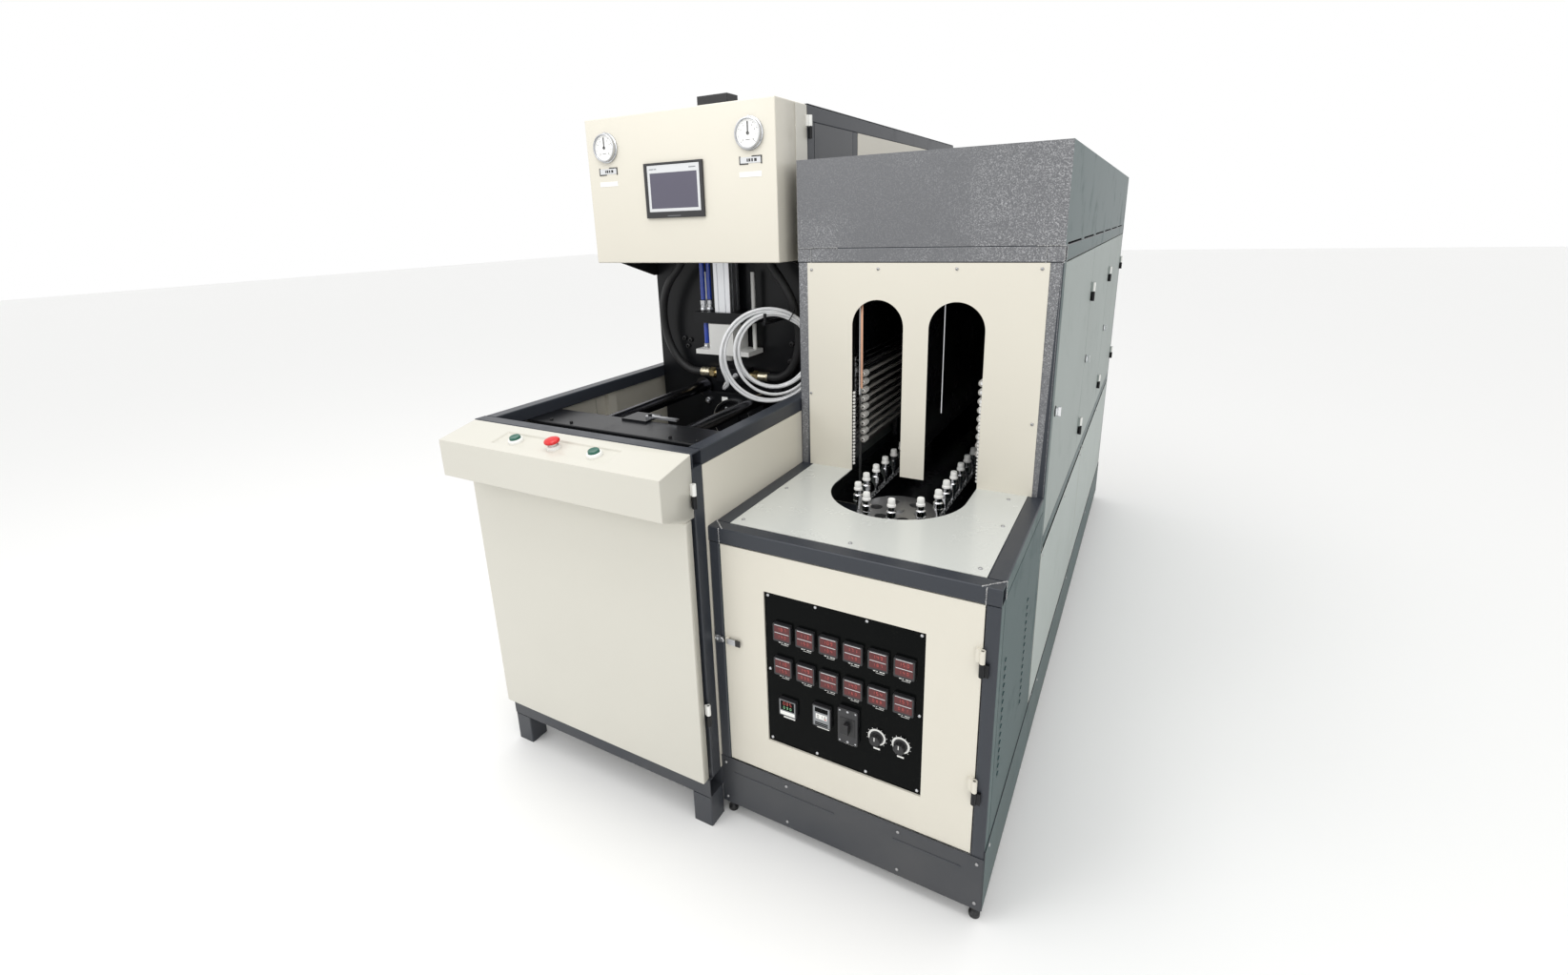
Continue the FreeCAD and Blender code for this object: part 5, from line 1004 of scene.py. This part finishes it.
def conveyor():
    links, rollers = Shape(), Shape()
    count = int(WAY_ROUND / 19.05)
    step = WAY_ROUND / count
    plate = [(-9.5, 0), (-8, 3.4), (-5, 3.8), (0, 2.8), (5, 3.8), (8, 3.4), (9.5, 0), (8, -3.4), (5, -3.8),
        (0, -2.8), (-5, -3.8), (-8, -3.4)]
    for i in range(count):
        x, y, heading = on_chain(step * i)
        c, s = cos(heading), sin(heading)
        outline = [(x + a * c - b * s, y + a * s + b * c) for a, b in plate]
        for low in ((799.2, 810.4) if i % 2 else (800.8, 808.8)):
            links.slab(outline, "xy", low, low + 1.4)
        x, y, _ = on_chain(step * (i + 0.5))
        rollers.turned((x, y, 799), "z", [(0, 0), (1.8, 0), (1.8, 3.4), (3.2, 3.6), (3.2, 9.2), (1.8, 9.4),
            (1.8, 13.2), (0, 13.4)], 10)
    links.done("chain_plates", ZINC, "zinc_steel", replaces=("conveyor_chain",))
    rollers.done("chain_rollers", CHROME, "zinc_steel")
    holders, crowns = Shape(), Shape()
    count = round(WAY_ROUND / 76.2)
    for i in range(count):
        x, y, _ = on_chain(WAY_ROUND * i / count)
        holders.turned((x, y, 812.6), "z", [(0, 0), (5.4, 0), (5.4, 14), (8.5, 15), (8.5, 20), (12.6, 22),
            (13, 24), (13, 27), (11.5, 28), (11.5, 31), (13, 32), (13, 43), (11, 45), (9, 46), (9, 60)], 24)
        crowns.turned((x, y, 812.6), "z", [(9, 56), (11.4, 57), (11.4, 62), (9.6, 64), (9.6, 74), (8.4, 77.6),
            (6, 78), (0, 76)], 24)
    holders.done("holder_bodies", CHROME, "bright_steel", replaces=("preform_holders",))
    crowns.done("holder_crowns", WHITE_PLASTIC, "white_block")


def oven_inside():
    caps, clips = Shape(), Shape()
    for index in range(3):
        near, far = BAYS_FROM + BAY * index + 14, BAYS_FROM + BAY * (index + 1) - 14
        for side in (-1, 1):
            x = OVEN_X + 169 * side
            for i in range(9):
                z = 945 + 25 * i
                for y, axis in ((near - 0.6, "y"), (far + 0.6, "-y")):
                    caps.turned((x, y, z), axis, [(0, 0), (5, 0), (6, 1), (9.6, 1), (9.6, 8), (8.2, 9),
                        (8.2, 11), (9.6, 12), (9.6, 24), (6, 26.5), (5.2, 26.5)], 16)
                    step = 1 if axis == "y" else -1
                    clips.turned((x, y - 3 * step, z), axis, [(0, 0), (2.6, 0), (2.6, 3.4), (0, 3.4)], 10)
                    clips.block((x - 3.4 + 8 * side, x + 3.4 + 8 * side),
                        (y + 9 * step - 1.5, y + 9 * step + 1.5), (z - 11.5, z + 11.5))
    caps.done("lamp_ceramics", CERAMIC, "lamp_quartz", angle=40)
    clips.done("lamp_clips", CHROME, "bright_steel", angle=40)
    lining = Shape()
    lining.block((345.8, 348.2), (600, 2480), (925, 1440))
    lining.block((42, 658), (2788, 2798), (745, 1460))
    for side in (-1, 1):
        edge = OVEN_X + 198 * side
        lining.block((edge - 0.9, edge + 0.9), (570, 2786), (1196, 1455))
    lining.done("oven_lining", BLACK_LINING, "black_steel", bevel=0.4)
    mirrors = Shape()
    for side in (-1, 1):
        edge = OVEN_X + 194.4 * side
        for i in range(17):
            z = 925 + 16 * i
            mirrors.block((edge - 0.5, edge + 0.5), (572, 2784), (z, z + 12))
    mirrors.done("lamp_reflectors", MIRROR, "bright_steel", bevel=0.3)
    Shape().block((183, 190), (533, 536), (1110, 1420)).done("bus_bar", COPPER, "bright_steel", bevel=0.6)
    rods = Shape()
    rods.turned((417, 540, 1060), "z", [(0, 0), (1.8, 0), (1.8, 380), (0, 380)], 12)
    rods.turned((178, 540, 1090), "z", [(0, 0), (2.4, 0), (2.4, 340), (0, 340)], 12)
    rods.done("window_rods", CHROME, "bright_steel")
    ticks = Shape()
    for tick_x in (168, 526):
        for i in range(22):
            z = 884 + 10.2 * i
            ticks.turned((tick_x, 524, z), "-y", [(0, 0), (4.2, 0), (4.2, 3), (3, 5), (0, 5.4)], 12)
    ticks.done("window_studs", CERAMIC, "white_block", angle=50)


conveyor()
oven_inside()


# ---------- side doors
def side_doors():
    for index, name in enumerate(("front", "middle", "rear")):
        near, far = BAYS_FROM + BAY * index + 2, BAYS_FROM + BAY * (index + 1) - 2
        leaves = Shape()
        for z in (1319, 850):
            leaves.turned((707, far - 4, z + 1), "z", hinge_sleeve(6.1), 20)
        leaves.done(f"side_hinge_{name}", WHITE_PLASTIC, "white_gauge", f"side_door_{name}", bevel=0.5)
        plate = Shape().turned((700.1, near + 32, 1083), "x", [(11.2, 0), (14.5, 0), (14.5, 1.2), (13, 2),
            (11.2, 2)], 32)
        plate.done(f"lock_collar_{name}", BLACK_PLASTIC, "black_plastic", f"side_door_{name}", angle=45)


side_doors()


# ---------- floor and light
def studio():
    material = bpy.data.materials.new("studio floor")
    material.use_nodes = True
    shader = material.node_tree.nodes["Principled BSDF"]
    shader.inputs["Base Color"].default_value = (*FLOOR, 1)
    shader.inputs["Roughness"].default_value = 0.6
    mesh = bpy.data.meshes.new("studio floor")
    bm = bmesh.new()
    bmesh.ops.create_grid(bm, x_segments=1, y_segments=1, size=30)
    bm.to_mesh(mesh)
    bm.free()
    mesh.materials.append(material)
    floor = bpy.data.objects.new("studio_floor", mesh)
    floor.location.z = -0.0005
    link(floor)
    world = bpy.data.worlds.new("studio")
    world.use_nodes = True
    world.node_tree.nodes["Background"].inputs["Color"].default_value = (1, 1, 1, 1)
    world.node_tree.nodes["Background"].inputs["Strength"].default_value = 1.0
    bpy.context.scene.world = world
    for name, place, aim, size, power in (
        ("key", (-2.4, -4.6, 3.4), (0, -1.2, 0.9), 2.2, 34),
        ("fill", (2.6, -4.4, 2.2), (0.3, -1.0, 0.9), 1.8, 16),
        ("top", (-0.2, -1.0, 4.4), (0, -0.6, 0.8), 2.6, 34),
        ("bed", (-0.1, -2.0, 2.7), (-0.55, -0.9, 0.9), 0.7, 9),
    ):
        data = bpy.data.lights.new(name, "AREA")
        data.shape, data.size, data.energy = "SQUARE", size, power
        light = bpy.data.objects.new(name, data)
        light.location = place
        light.rotation_euler = (Vector(aim) - Vector(place)).to_track_quat("-Z", "Y").to_euler()
        link(light)
    bpy.context.scene.view_settings.view_transform = "Standard"


studio()
